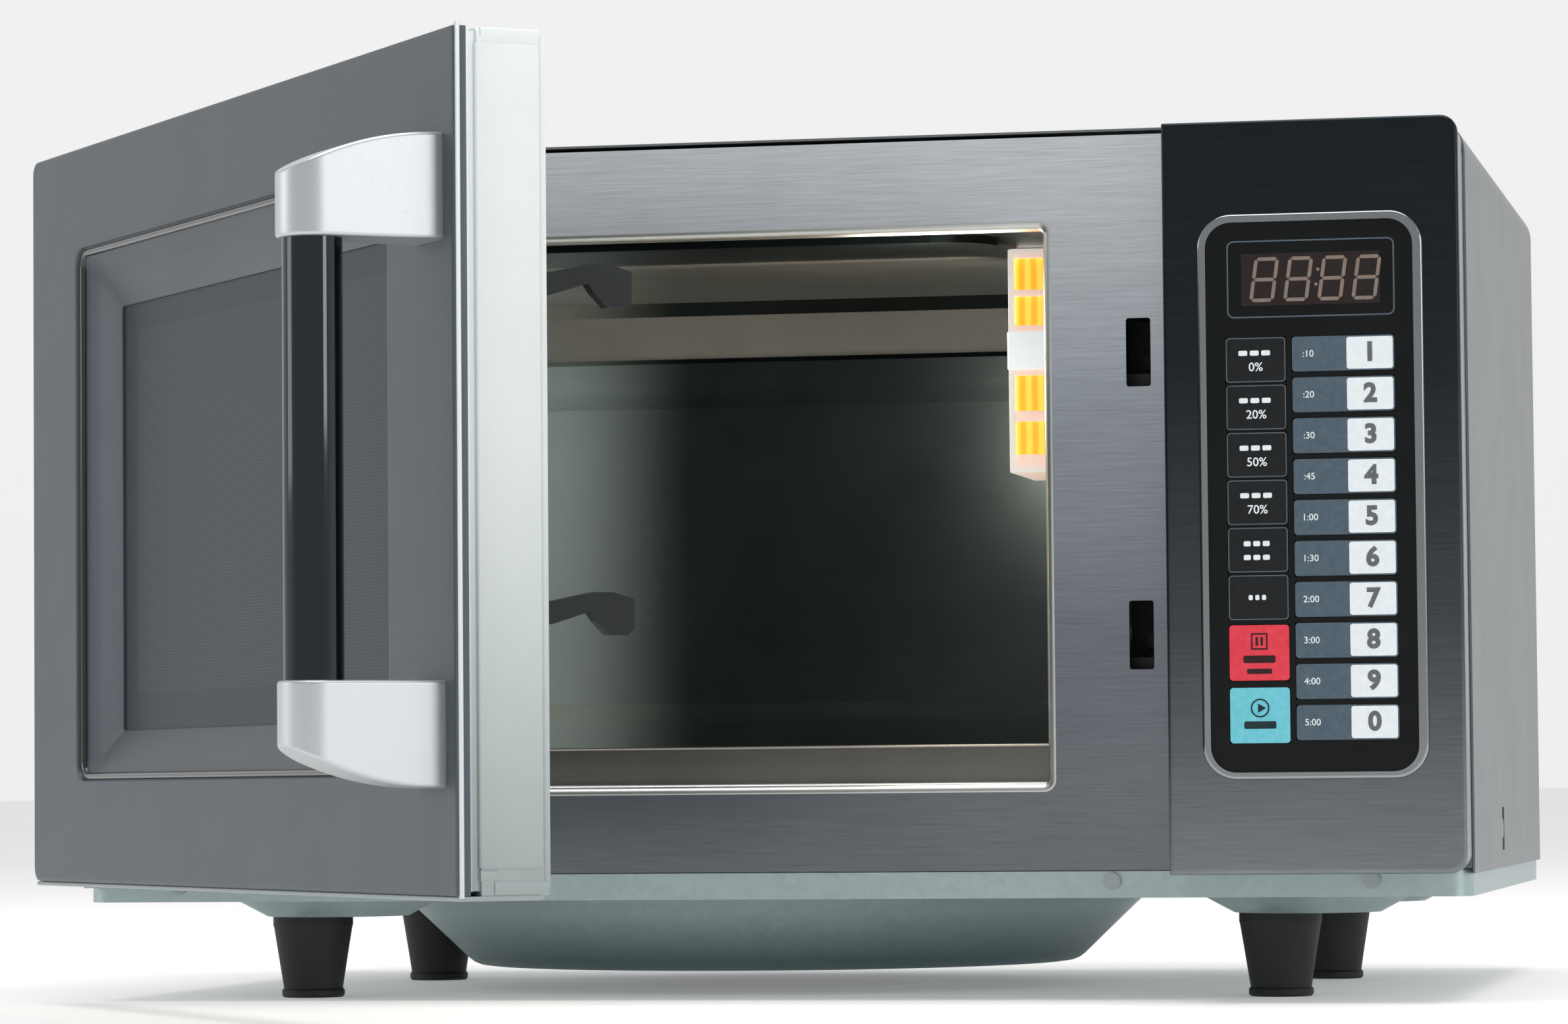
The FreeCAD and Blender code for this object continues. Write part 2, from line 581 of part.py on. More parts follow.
def key_places():
    """Each key's name, low left corner and measures, as formulas."""
    places = []
    for i in range(6):
        bottom = f"keys_top - program_tall - {i}*program_pitch"
        places.append((f"key_program_{i + 1}", "program_left", bottom, "program_wide", "program_tall"))
    places.append(("key_stop", "program_left", "stop_bottom", "program_wide", "action_tall"))
    places.append(("key_start", "program_left", "start_bottom", "program_wide", "action_tall"))
    for i in range(10):
        bottom = f"keys_top - number_tall - {i}*number_pitch"
        places.append((f"key_number_{(i + 1) % 10}", "number_left", bottom, "number_wide", "number_tall"))
    return places


def make_keypad(front):
    """The black keypad, with a shallow seat under the display and under each key."""
    pad = pillow("pad_slab", ("pad_left", f"{front} - 0.4", "pad_bottom"),
                 ("pad_right", f"{front} - 0.4 + pad_thick", "pad_top"), size("pad_round"), "y")
    seats = [span("screen_seat", ("screen_left", f"{front} - 1", "screen_bottom"),
                  ("screen_left + screen_wide", f"{front} + 0.6", "screen_bottom + screen_tall"))]
    for name, left, bottom, wide, tall in key_places():
        seats.append(span(f"{name}_seat", (f"{left} - key_room", f"{front} - 1", f"{bottom} - key_room"),
                          (f"{left} + {wide} + key_room", f"{front} - 0.4 + key_sink",
                           f"{bottom} + {tall} + key_room")))
    keep("keypad", cut("keypad_slab", pad, seats))
    keep("display", span("display_window", ("screen_left", f"{front} - 0.4", "screen_bottom"),
                         ("screen_left + screen_wide", f"{front} + 0.6", "screen_bottom + screen_tall")))
    for name, left, bottom, wide, tall in key_places():
        cap = pillow(f"{name}_cap", (left, f"{front} - 0.5", bottom),
                     (f"{left} + {wide}", f"{front} - 0.5 + key_thick", f"{bottom} + {tall}"), 1.2, "y")
        keep(name, cap)
    board = span("board_plate", ("165", f"{front} + 12", "85"), ("245", f"{front} + 13.6", "270"))
    chips = []
    for i, (x, z) in enumerate(((172, 100), (205, 110), (180, 180), (210, 225))):
        chips.append(span(f"board_chip_{i}", (str(x), f"{front} + 13.5", str(z)),
                          (str(x + 18), f"{front} + 20", str(z + 22))))
    keep("control_board", fuse("control_board_whole", [board, *chips]))


# ---------------------------------------------------------------- door

def door_place():
    """Swing what is drawn for the closed door about its hinge pins, to the angle it stands at."""
    pivot = Vector(size("pivot_in") - size("case_wide") / 2, size("front_y") - size("pivot_out"), 0)
    swing = FreeCAD.Rotation(Vector(0, 0, 1), -size("door_open"))
    return FreeCAD.Placement(Vector(0, 0, 0), swing, pivot)


def keep_on_door(node, obj):
    """A sub-part of the door: its shape is drawn closed, and its placement swings it open."""
    holder = doc.addObject("Part::Compound", f"{node}_on_door")
    holder.Links = [obj]
    holder.Placement = door_place()
    return keep(node, holder)


def door_span(name, low, high):
    """A box in the door's own terms: along its width, back from its face, and up."""
    return span(name, [f"{low[0]} - case_wide/2", f"front_y - panel_out + {low[1]}", low[2]],
                [f"{high[0]} - case_wide/2", f"front_y - panel_out + {high[1]}", high[2]])


def tapered(name, near, far, depths):
    """A solid that tapers from one rectangle to another, back from the door's face."""
    profiles = []
    for i, ((left, bottom, right, top), depth) in enumerate(zip((near, far), depths)):
        sketch = doc.addObject("Sketcher::SketchObject", f"{name}_profile_{i}")
        points = [(left, bottom), (right, bottom), (right, top), (left, top)]
        points = [(f"{x} - case_wide/2", z) for x, z in points]
        outline(sketch, points)
        sketch.Placement.Rotation = FreeCAD.Rotation(Vector(1, 0, 0), 90)
        bind(sketch, "Placement.Base.y", f"front_y - panel_out + {depth}")
        profiles.append(sketch)
    loft = doc.addObject("Part::Loft", name)
    loft.Sections = profiles
    loft.Solid = True
    loft.Ruled = True
    return loft


def dish(grown, slope="dish_slope"):
    """The window's dished recess as a rectangle, grown all round, at its top or its bottom."""
    return (f"dish_left + {slope} - ({grown})", f"dish_bottom + {slope}*0.9 - ({grown})",
            f"dish_right - {slope} + ({grown})", f"dish_top - {slope}*1.1 + ({grown})")


def make_door_skin():
    """The painted steel skin: folded edges, and a dish that slopes in to the window."""
    def hinge_side(middle):
        return middle.x < 0

    block = door_span("door_block", ("0", "0", "panel_bottom"), ("door_wide", "lip_deep", "panel_top"))
    outer = soften("door_out", block, size("door_round"), "y", hinge_side)
    inner = soften("door_in", door_span("door_room", ("sheet", "sheet", "panel_bottom + sheet"),
                                        ("door_wide - sheet", "lip_deep + 1", "panel_top - sheet")),
                   size("door_round") - size("sheet"), "y", hinge_side)
    shell = cut("door_shell", outer, [inner])
    wall = tapered("dish_wall", dish("sheet", "0"), dish("sheet"), ("0.02", "dish_deep + sheet"))
    hollow = tapered("dish_hollow", dish("0.01", "0"), dish("0"), ("-0.001", "dish_deep"))
    hole_low = ("dish_left + dish_slope + 3", "dish_deep - 3", "dish_bottom + dish_slope + 1")
    hole_high = ("dish_right - dish_slope - 3", "dish_deep + 3", "dish_top - dish_slope - 5")
    hole = door_span("window_hole", hole_low, hole_high)
    keep_on_door("door_skin", cut("door_skin_sheet", fuse("door_skin_solid", [shell, wall]), [hollow, hole]))


def make_door_frame():
    """The moulded frame behind the skin: a hollow ring, grooved near the front, with hinge seats."""
    low_edge = "panel_bottom - frame_drop"
    high_edge = "panel_top - 0.4"
    neck = door_span("frame_neck", ("1.5", "1.5", "panel_bottom + 1.5"),
                     ("door_wide - 1.5", "groove_deep", "panel_top - 1.5"))
    ring = door_span("frame_ring", ("0.4", "groove_deep", low_edge),
                     ("door_wide - 0.4", "frame_deep", high_edge))
    ring = soften("frame_ring_soft", ring, 2, "y")
    sight_front = door_span("frame_sight_front", ("dish_left - 3", "0", "dish_bottom - 3"),
                            ("dish_right + 3", "dish_deep + 1.5", "dish_top + 3"))
    sight_back = door_span("frame_sight_back", ("62", "0", "92"), ("339", "40", "258"))
    channel = door_span("frame_channel", ("14", "dish_deep + 4", "57"), ("door_wide - 5", "40", "296"))
    core = door_span("frame_core", ("57", "dish_deep", "87"), ("344", "frame_deep", "263"))
    trough = cut("frame_trough", channel, [core])
    seats = []
    for i, height in enumerate(("hinge_low", "hinge_high")):
        seats.append(door_span(f"tongue_seat_{i}", ("-1", "9.5", f"{height} - 1.2"),
                               ("13", "40", f"{height} + tongue_thick + 1.2")))
    pivot = ("pivot_in - case_wide/2", "front_y - pivot_out")
    seats.append(rod("pin_hole_high", "pin_r + pin_fit", "5.4", (*pivot, "hinge_high")))
    seats.append(rod("pin_hole_low", "pin_r + pin_fit", "5.4", (*pivot, "hinge_low + tongue_thick - 5.4")))
    solid = fuse("door_frame_solid", [neck, ring])
    keep_on_door("door_frame", cut("door_frame_ring", solid, [sight_front, sight_back, trough, *seats]))


def make_door_inside():
    """The choke cover on the door's inner face, the window's layers and the latch hooks."""
    plate = door_span("cover_plate", ("10", "frame_deep", "55"), ("door_wide - 8", "cover_deep", "298.5"))
    plate = soften("cover_plate_soft", plate, 5, "y")
    sight = door_span("cover_sight", ("58", "20", "88"), ("343", "40", "262"))
    hook_slots = []
    for i, low in enumerate(("slot_high + 1.6", "slot_low + 1.6")):
        hook_slots.append(door_span(f"cover_hook_slot_{i}", ("hook_s - 3.4", "20", low),
                                    ("hook_s + 3.4", "40", f"{low} + 22")))
    keep_on_door("choke_cover", cut("choke_cover_plate", plate, [sight, *hook_slots]))
    keep_on_door("window_film", door_span("film", ("67", "dish_deep + sheet", "95"),
                                          ("334", "dish_deep + sheet + film_thick", "254")))
    keep_on_door("window_screen", door_span("screen", ("62", "20", "92"), ("339", "20.8", "258")))
    keep_on_door("window_inner", door_span("inner_glass", ("58", "frame_deep", "88"), ("343", "30.6", "262")))


def hook_outline(shift):
    """The side view of one latch hook: back from the door's face, and up."""
    points = [(17, 235.7), (37, 235.5), (50.5, 238.3), (57.5, 238.3), (64.3, 236.3), (64.3, 227), (62, 225),
              (56, 225), (51.5, 229.5), (49.5, 232.3), (37, 228.4), (17, 228.2)]
    return [(f"front_y - panel_out + {back}", f"{up} - {shift}") for back, up in points]


def make_hooks():
    """Two hooks on one slide, so that they lift together against a spring inside the door."""
    pieces = []
    for i, shift in enumerate(("0", "hook_spacing")):
        body = doc.addObject("PartDesign::Body", f"hook_{i}")
        offset = "hook_s - hook_thick/2 - case_wide/2"
        profile = outline(sketch_on(body, "YZ_Plane", f"hook_side_{i}", offset), hook_outline(shift))
        grow(body, profile, "hook_thick", f"hook_pad_{i}")
        pieces.append(body)
    pieces.append(door_span("hook_slide", ("hook_s - hook_thick/2", "17", "120"),
                            ("hook_s + hook_thick/2", "22", "240")))
    keep_on_door("latch_hooks", fuse("latch_hooks_whole", pieces))


def make_handle():
    """Two cast brackets and a chromed tube. The lower bracket mirrors the upper one."""
    face = "front_y - panel_out"
    centre = ("grip_s - case_wide/2", f"{face} - grip_out")
    tube = rod("grip_tube", "grip_r", "grip_high - grip_low", (*centre, "grip_low"))
    keep_on_door("handle_tube", tube)
    middle = (size("grip_high") + size("grip_low")) / 2
    rise = size("bracket_tall") - size("bracket_tip")
    reach = size("grip_out") + size("bracket_r")
    arc_radius = (reach ** 2 + rise ** 2) / (2 * rise)
    for node, flip in (("bracket_upper", False), ("bracket_lower", True)):
        stem = span(f"{node}_stem", (f"{centre[0]} - bracket_r", centre[1], "grip_high"),
                    (f"{centre[0]} + bracket_r", face, "grip_high + bracket_tall"))
        nose = rod(f"{node}_nose", "bracket_r", "bracket_tall", (*centre, "grip_high"))
        plan = fuse(f"{node}_plan", [stem, nose])
        drum = rod(f"{node}_drum", str(arc_radius), "2*bracket_r + 2",
                   (f"{centre[0]} - bracket_r - 1", face, f"grip_high + bracket_tall - {arc_radius}"), "x")
        shape = doc.addObject("Part::Common", f"{node}_shape")
        shape.Base = plan
        shape.Tool = drum
        soft = soft_rim(f"{node}_soft", shape, 1.2, bracket_edge)
        if flip:
            mirror = doc.addObject("Part::Mirroring", f"{node}_mirror")
            mirror.Source = soft
            mirror.Normal = Vector(0, 0, 1)
            mirror.Base = Vector(0, 0, middle)
            soft = mirror
        keep_on_door(node, soft)


def bracket_edge(edge):
    """The rims of a bracket's top and bottom, but not the edges against the door."""
    box = edge.BoundBox
    face = size("front_y") - size("panel_out")
    on_door = box.YMin > face - 0.1
    upright = box.ZLength > 5 and box.YLength < 0.1
    return not on_door and not upright


# ---------------------------------------------------------------- hinges, latch, screws and rear pieces

def make_hinges():
    """Two hinge plates on the front plate. Each has a tongue with a pin that the door turns on."""
    pivot = ("pivot_in - case_wide/2", "front_y - pivot_out")
    pieces = []
    ends = (("hinge_low", "hinge_low - 3.6"), ("hinge_high", "hinge_high + tongue_thick"))
    for i, (height, pin_from) in enumerate(ends):
        leaf = span(f"hinge_leaf_{i}", (f"{pivot[0]} - tongue_half", "front_y - 1.2", f"{height} - 8"),
                    (f"{pivot[0]} + 20", "front_y", f"{height} + 8"))
        tongue = span(f"hinge_tongue_{i}", (f"{pivot[0]} - tongue_half", pivot[1], height),
                      (f"{pivot[0]} + tongue_half", "front_y", f"{height} + tongue_thick"))
        end = rod(f"hinge_end_{i}", "tongue_half", "tongue_thick", (*pivot, height))
        pin = rod(f"hinge_pin_{i}", "pin_r", "3.6", (*pivot, pin_from))
        pieces.append(fuse(f"hinge_plate_{i}", [leaf, tongue, end, pin]))
    keep("hinge_plates", group("hinge_pair", pieces))


def make_latch():
    """The latch bracket behind the slots: a back plate, a catch bar under each hook, two switches."""
    web = span("latch_web", ("147", "front_y + sheet", "114"), ("150", "front_y + 60", "255"))
    pieces = [web]
    for i, (catch, hook) in enumerate((("slot_high + 5.9", "slot_high"), ("slot_low + 5.1", "slot_low"))):
        pieces.append(span(f"catch_{i}", ("131", "front_y + 12", f"{catch} - 7"),
                           ("147", "front_y + 20", f"{catch} - 0.6")))
        case = span(f"switch_{i}", ("130", "front_y + 37", f"{hook} - 2"),
                    ("147", "front_y + 55", f"{hook} + 26"))
        bore = span(f"switch_bore_{i}", ("136", "front_y + 30", f"{hook} + 8"),
                    ("141", "front_y + 44", f"{hook} + 14"))
        pieces.append(cut(f"switch_case_{i}", case, [bore]))
    keep("latch_bracket", fuse("latch_bracket_whole", pieces))
    for node, hook in (("switch_plunger_upper", "slot_high"), ("switch_plunger_lower", "slot_low")):
        stem = span(f"{node}_stem", ("136.3", "front_y + 32.8", f"{hook} + 8.3"),
                    ("140.7", "front_y + 41.5", f"{hook} + 13.7"))
        keep(node, stem)


def make_small_parts():
    """Screw heads, rear stand-offs and the cord gland."""
    rear = "front_y + case_deep"
    heads = []
    for i, x in enumerate((-219, -127, 127, 219)):
        heads.append(rod(f"front_screw_{i}", "3.1", "1.7", (str(x), "front_y + 0.2 - 1.7", "42.4"), "y"))
    for i, (x, z) in enumerate(((-240, 60), (240, 60), (-240, 290), (240, 290), (0, 300), (0, 56))):
        heads.append(rod(f"rear_screw_{i}", "3.6", "2", (str(x), rear, str(z)), "y"))
    heads.append(rod("side_screw_right", "3.6", "1.6", ("case_wide/2 - 1.8", "front_y + 135", "59"), "x"))
    heads.append(rod("side_screw_left", "3.6", "1.6", ("0.2 - case_wide/2", "front_y + 135", "59"), "x"))
    keep("case_screws", group("case_screw_heads", heads))
    pads = [pillow(f"standoff_{i}", (str(x), rear, "262"), (str(x + 36), f"{rear} + 14", "280"), 4, "y")
            for i, x in enumerate((-225, 60))]
    keep("rear_standoffs", group("rear_standoff_pair", pads))
    collar = rod("gland_collar", "11", "9", ("205", rear, "75"), "y")
    neck = rod("gland_neck", "7.8", "4", ("205", f"{rear} - 3", "75"), "y")
    bore = rod("gland_bore", "4", "40", ("205", f"{rear} - 20", "75"), "y")
    keep("cord_gland", cut("cord_gland_bored", fuse("gland_solid", [collar, neck]), [bore]))


# ---------------------------------------------------------------- build, check and write

for make in (make_case, make_rear_panel, make_front_plate, make_base, make_cavity, make_lamp, make_antenna,
             make_power, make_panel, make_door_skin, make_door_frame, make_door_inside, make_hooks,
             make_handle, make_hinges, make_latch, make_small_parts):
    make()
doc.recompute()

broken = [o.Name for o in doc.Objects if "Invalid" in o.State or "Error" in o.State]
assert not broken, f"failed objects: {broken}"
for node, obj in nodes.items():
    assert not obj.Shape.isNull() and obj.Shape.isValid(), f"{node} has no valid shape"
    assert obj.Shape.Solids, f"{node} has no solid"
for node, obj in nodes.items():
    obj.Shape.exportStep(f"parts/{node}.step")
    box = obj.Shape.BoundBox
    measures = f"{box.XLength:.1f} x {box.YLength:.1f} x {box.ZLength:.1f} mm"
    print(f"{node}: {len(obj.Shape.Solids)} solid(s), {measures}")
print(len(nodes), "nodes")
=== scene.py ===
# %% [markdown]
# # A microwave oven with its door ajar
# This file dresses a finished CAD model of a countertop microwave oven. The CAD model is the frame: it says
# where every piece is and how it moves. Here each visible piece gets its true surface, and the ones whose
# edges, folds and curves matter to the eye are modelled again over the CAD piece that they stand for.

# %% Load the frame
import json
import math
import bmesh
import bpy
from mathutils import Matrix, Vector


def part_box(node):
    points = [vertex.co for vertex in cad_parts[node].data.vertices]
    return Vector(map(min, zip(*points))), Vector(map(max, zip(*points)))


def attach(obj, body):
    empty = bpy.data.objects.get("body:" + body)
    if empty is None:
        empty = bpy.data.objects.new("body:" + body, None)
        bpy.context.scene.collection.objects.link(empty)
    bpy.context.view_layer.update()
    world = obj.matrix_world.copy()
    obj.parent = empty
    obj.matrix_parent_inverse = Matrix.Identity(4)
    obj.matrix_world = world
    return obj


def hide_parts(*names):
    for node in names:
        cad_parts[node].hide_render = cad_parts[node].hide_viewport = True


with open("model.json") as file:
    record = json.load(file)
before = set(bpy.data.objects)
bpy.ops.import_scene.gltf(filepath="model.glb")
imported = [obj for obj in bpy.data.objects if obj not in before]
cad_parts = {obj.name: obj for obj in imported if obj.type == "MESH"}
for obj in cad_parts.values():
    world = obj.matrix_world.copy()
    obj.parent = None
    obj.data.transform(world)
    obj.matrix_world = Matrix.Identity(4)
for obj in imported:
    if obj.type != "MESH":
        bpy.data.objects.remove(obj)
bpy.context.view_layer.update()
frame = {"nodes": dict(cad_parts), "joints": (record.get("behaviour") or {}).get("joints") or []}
MM = 0.001

# %% [markdown]
# ## Measures taken from the frame
# Pieces are placed from the CAD pieces' own boxes, and what lies between them is given as an offset in
# millimetres. The door is drawn closed, where its sides are square to the axes, and then swung open about its
# hinge by one matrix.

# %% Measures
case_low, case_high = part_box("case")
plate_low, plate_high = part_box("front_plate")
panel_low, panel_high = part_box("panel_skin")
pad_low, pad_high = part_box("keypad")
FRONT = plate_low.y
SHEET = 0.8 * MM
hinge = next(j for j in frame["joints"] if j["name"] == "door_hinge")
PIVOT = Vector(hinge["pos_m"])
OPEN = Matrix.Translation(PIVOT) @ Matrix.Rotation(math.radians(hinge["range_deg"][0]), 4, "Z")
OPEN = OPEN @ Matrix.Translation(-PIVOT)
DOOR_LEFT = case_low.x
DOOR_FACE = panel_low.y
DOOR_LOW, DOOR_HIGH = panel_low.z, panel_high.z


def on_door(s, back, up):
    """A point of the closed door: along its width, back from its face, and up, in millimetres."""
    return Vector((DOOR_LEFT + s * MM, DOOR_FACE + back * MM, up * MM))


print("front plate at y =", round(FRONT, 4), " door face at y =", round(DOOR_FACE, 4))

# %% [markdown]
# ## Helpers for meshes
# Each piece is a bmesh: a box, a rounded sheet or a turned profile, shaped by bmesh's own operators. The
# helper `piece` turns a finished bmesh into an object that rides on a body and hides the CAD node that it
# stands for.

# %% Mesh helpers

def piece(name, bm, material, body="cabinet", replaces=None, slot=None, door=False, angle=32):
    """Make an object from a bmesh: normals outward, smooth below an angle, riding on its body."""
    bmesh.ops.remove_doubles(bm, verts=bm.verts, dist=1e-6)
    if door:
        bmesh.ops.transform(bm, matrix=OPEN, verts=bm.verts)
    bmesh.ops.recalc_face_normals(bm, faces=bm.faces)
    mesh = bpy.data.meshes.new(name)
    bm.to_mesh(mesh)
    bm.free()
    obj = bpy.data.objects.new(name, mesh)
    bpy.context.scene.collection.objects.link(obj)
    for coat in material if isinstance(material, list) else [material]:
        mesh.materials.append(coat)
    mesh.shade_smooth()
    mesh.set_sharp_from_angle(angle=math.radians(angle))
    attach(obj, body)
    if replaces:
        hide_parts(replaces)


def add_box(bm, low, high):
    """A box between two corners, in metres. Returns its vertices."""
    low, high = Vector(low), Vector(high)
    place = Matrix.Translation((low + high) / 2) @ Matrix.Diagonal((*(high - low), 1))
    return bmesh.ops.create_cube(bm, size=1, matrix=place)["verts"]


def soften(bm, edges, width, segments=3):
    """Bevel edges, with the settings that the editor would use."""
    edges = list(edges)
    if edges:
        bmesh.ops.bevel(bm, geom=edges, offset=width, offset_type="OFFSET", segments=segments,
                        profile=0.5, affect="EDGES", clamp_overlap=True, material=-1)


def crisp(bm, angle=40):
    """The edges where two faces meet at more than an angle."""
    limit = math.radians(angle)
    return [e for e in bm.edges if len(e.link_faces) == 2 and e.calc_face_angle(0) > limit]


def along(bm, axis):
    """The straight edges that run along X, Y or Z (0, 1 or 2)."""
    found = []
    for e in bm.edges:
        run = e.verts[1].co - e.verts[0].co
        if run.length > 1e-7 and abs(run[axis]) > 0.999 * run.length:
            found.append(e)
    return found


def rounded_box(bm, low, high, radius, axis, rim=0.0, segments=6):
    """A box with its edges along one axis rounded, and all its other edges eased by a small rim."""
    part = bmesh.new()
    add_box(part, low, high)
    soften(part, along(part, axis), radius, segments)
    if rim:
        soften(part, crisp(part, 50), rim, 2)
    merge(bm, part)


def bar(name, low, high, radius, axis, material, rim=0.0, segments=6, **riding):
    """A rounded box as a piece of its own."""
    bm = bmesh.new()
    rounded_box(bm, low, high, radius, axis, rim, segments)
    piece(name, bm, material, **riding)


def merge(bm, part, matrix=None):
    """Copy a finished part into a bmesh."""
    if matrix is not None:
        bmesh.ops.transform(part, matrix=matrix, verts=part.verts)
    mesh = bpy.data.meshes.new("part")
    part.to_mesh(mesh)
    part.free()
    bm.from_mesh(mesh)
    bpy.data.meshes.remove(mesh)


def loop_face(bm, left, low, right, high, y, radii, segments=6):
    """A flat face in the XZ plane with rounded corners; radii go round from the low left corner."""
    place = Matrix.Translation(((left + right) / 2, y, (low + high) / 2))
    place = place @ Matrix.Diagonal((right - left, 1, high - low, 1)) @ Matrix.Rotation(math.pi / 2, 4, "X")
    made = bmesh.ops.create_grid(bm, x_segments=1, y_segments=1, size=0.5, matrix=place)["verts"]
    corners = [(left, low), (right, low), (right, high), (left, high)]
    for (x, z), radius in zip(corners, radii):
        near = min(made, key=lambda v: (v.co.x - x) ** 2 + (v.co.z - z) ** 2)
        made.remove(near)
        if radius > 0:
            bmesh.ops.bevel(bm, geom=[near], offset=radius, offset_type="OFFSET", segments=segments,
                            profile=0.5, affect="VERTICES", clamp_overlap=True, material=-1)


def pierced(outer, holes, y, thick, rim=0.0, segments=6):
    """A flat plate in the XZ plane with rounded corners and rounded holes, given its thickness along Y."""
    bm = bmesh.new()
    for shape in (outer, *holes):
        loop_face(bm, *shape[:4], y, shape[4], segments)
    if holes:
        bmesh.ops.delete(bm, geom=bm.faces[:], context="FACES_ONLY")
        bmesh.ops.triangle_fill(bm, use_beauty=True, use_dissolve=False, edges=bm.edges[:])
    made = bmesh.ops.extrude_face_region(bm, geom=bm.faces[:])["geom"]
    bmesh.ops.translate(bm, verts=[v for v in made if isinstance(v, bmesh.types.BMVert)], vec=(0, thick, 0))
    bmesh.ops.recalc_face_normals(bm, faces=bm.faces)
    if rim:
        soften(bm, crisp(bm, 60), rim, 2)
    return bm


def turned(profile, steps):
    """Spin a profile of (radius, height) pairs a full turn about the Z axis."""
    part = bmesh.new()
    verts = [part.verts.new((r, 0, h)) for r, h in profile]
    edges = [part.edges.new(pair) for pair in zip(verts, verts[1:])]
    bmesh.ops.spin(part, geom=verts + edges, cent=(0, 0, 0), axis=(0, 0, 1), dvec=(0, 0, 0),
                   angle=2 * math.pi, steps=steps, use_merge=True, use_duplicate=False)
    bmesh.ops.remove_doubles(part, verts=part.verts, dist=1e-7)
    bmesh.ops.recalc_face_normals(part, faces=part.faces)
    return part


print("mesh helpers ready")

# %% [markdown]
# ## Helpers for materials
# A material is a small tree of nodes. `add` makes one node: plain values go on its sockets, and another
# node's output makes a link. Colours are written as the hex codes a designer would use, which are sRGB, and
# turned to the linear values that a renderer works in.

# %% Material helpers

def linear(code):
    """An sRGB hex colour as the linear RGBA that a shader takes."""
    parts = [int(code[i:i + 2], 16) / 255 for i in (1, 3, 5)]
    return (*[c / 12.92 if c <= 0.04045 else ((c + 0.055) / 1.055) ** 2.4 for c in parts], 1.0)


def add(tree, kind, inputs=None, **settings):
    """Add a node with its settings and its inputs: values, hex colours or other nodes' outputs."""
    node = tree.nodes.new(kind)
    for name, value in settings.items():
        setattr(node, name, value)
    for name, value in (inputs or {}).items():
        if isinstance(value, bpy.types.NodeSocket):
            tree.links.new(value, node.inputs[name])
        else:
            node.inputs[name].default_value = linear(value) if isinstance(value, str) else value
    return node


def finish(name, colour, roughness, metallic=0.0, **shader):
    """A new material on the standard shader. Returns it with its tree, shader and object coordinates."""
    material = bpy.data.materials.new(name)
    material.use_nodes = True
    tree = material.node_tree
    surface = tree.nodes["Principled BSDF"]
    shader = {"Base Color": colour, "Roughness": roughness, "Metallic": metallic, **shader}
    for socket, value in shader.items():
        surface.inputs[socket].default_value = linear(value) if isinstance(value, str) else value
    place = add(tree, "ShaderNodeTexCoord").outputs["Object"]
    return material, tree, surface, place


def ramp(tree, factor, *stops):
    """A colour ramp through (position, hex or grey) stops."""
    node = add(tree, "ShaderNodeValToRGB", {"Fac": factor})
    while len(node.color_ramp.elements) < len(stops):
        node.color_ramp.elements.new(0.5)
    for element, (at, value) in zip(node.color_ramp.elements, stops):
        element.position = at
        element.color = linear(value) if isinstance(value, str) else (value, value, value, 1)
    return node.outputs["Color"]


def noise(tree, place, scale, stretch=(1, 1, 1), detail=3.0, rough=0.55):
    """Noise whose grains are about `scale` to the metre, stretched along chosen axes."""
    at = add(tree, "ShaderNodeMapping", {"Vector": place, "Scale": stretch}).outputs["Vector"]
    return add(tree, "ShaderNodeTexNoise", {"Vector": at, "Scale": scale, "Detail": detail,
                                             "Roughness": rough}).outputs["Fac"]


def raise_grain(tree, surface, height, strength, distance):
    """Bump a surface by a height pattern; distance is the grain's real depth in metres."""
    bump = add(tree, "ShaderNodeBump", {"Height": height, "Strength": strength, "Distance": distance})
    tree.links.new(bump.outputs["Normal"], surface.inputs["Normal"])


def vary(tree, surface, socket, factor, low, high):
    """Let a shader value run between two limits with a pattern."""
    node = add(tree, "ShaderNodeMapRange", {"Value": factor, "To Min": low, "To Max": high})
    tree.links.new(node.outputs["Result"], surface.inputs[socket])


def split(tree, place):
    """The X, Y and Z of a position, as three outputs."""
    return add(tree, "ShaderNodeSeparateXYZ", {"Vector": place}).outputs


def between(tree, value, low, high, **settings):
    """A value that runs from 0 at low to 1 at high."""
    node = add(tree, "ShaderNodeMapRange", {"Value": value, "From Min": low, "From Max": high}, **settings)
    return node.outputs["Result"]


def maths(tree, operation, a, b):
    """One sum on two values, such as ADD or MULTIPLY."""
    return add(tree, "ShaderNodeMath", {0: a, 1: b}, operation=operation).outputs[0]


def mixed(tree, share, first, second, blend="MIX"):
    """Two colours mixed by a share; blended with MULTIPLY, the second one darkens the first."""
    values = {"Fac": share, "Color1": first, "Color2": second}
    return add(tree, "ShaderNodeMixRGB", values, blend_type=blend).outputs[0]


print("material helpers ready")


# %% [markdown]
# ## Metals
# Brushed stainless steel gets its look from thousands of fine scratches that all run one way. Each one is
# too fine to model, so a noise is stretched along the brushing and used three times: as a faint colour
# change, as a change of roughness and as a very shallow bump. Real scratches are about 0.05 mm apart; here
# they are drawn near 0.4 mm, as coarse as they must be to show.

# %% Metals

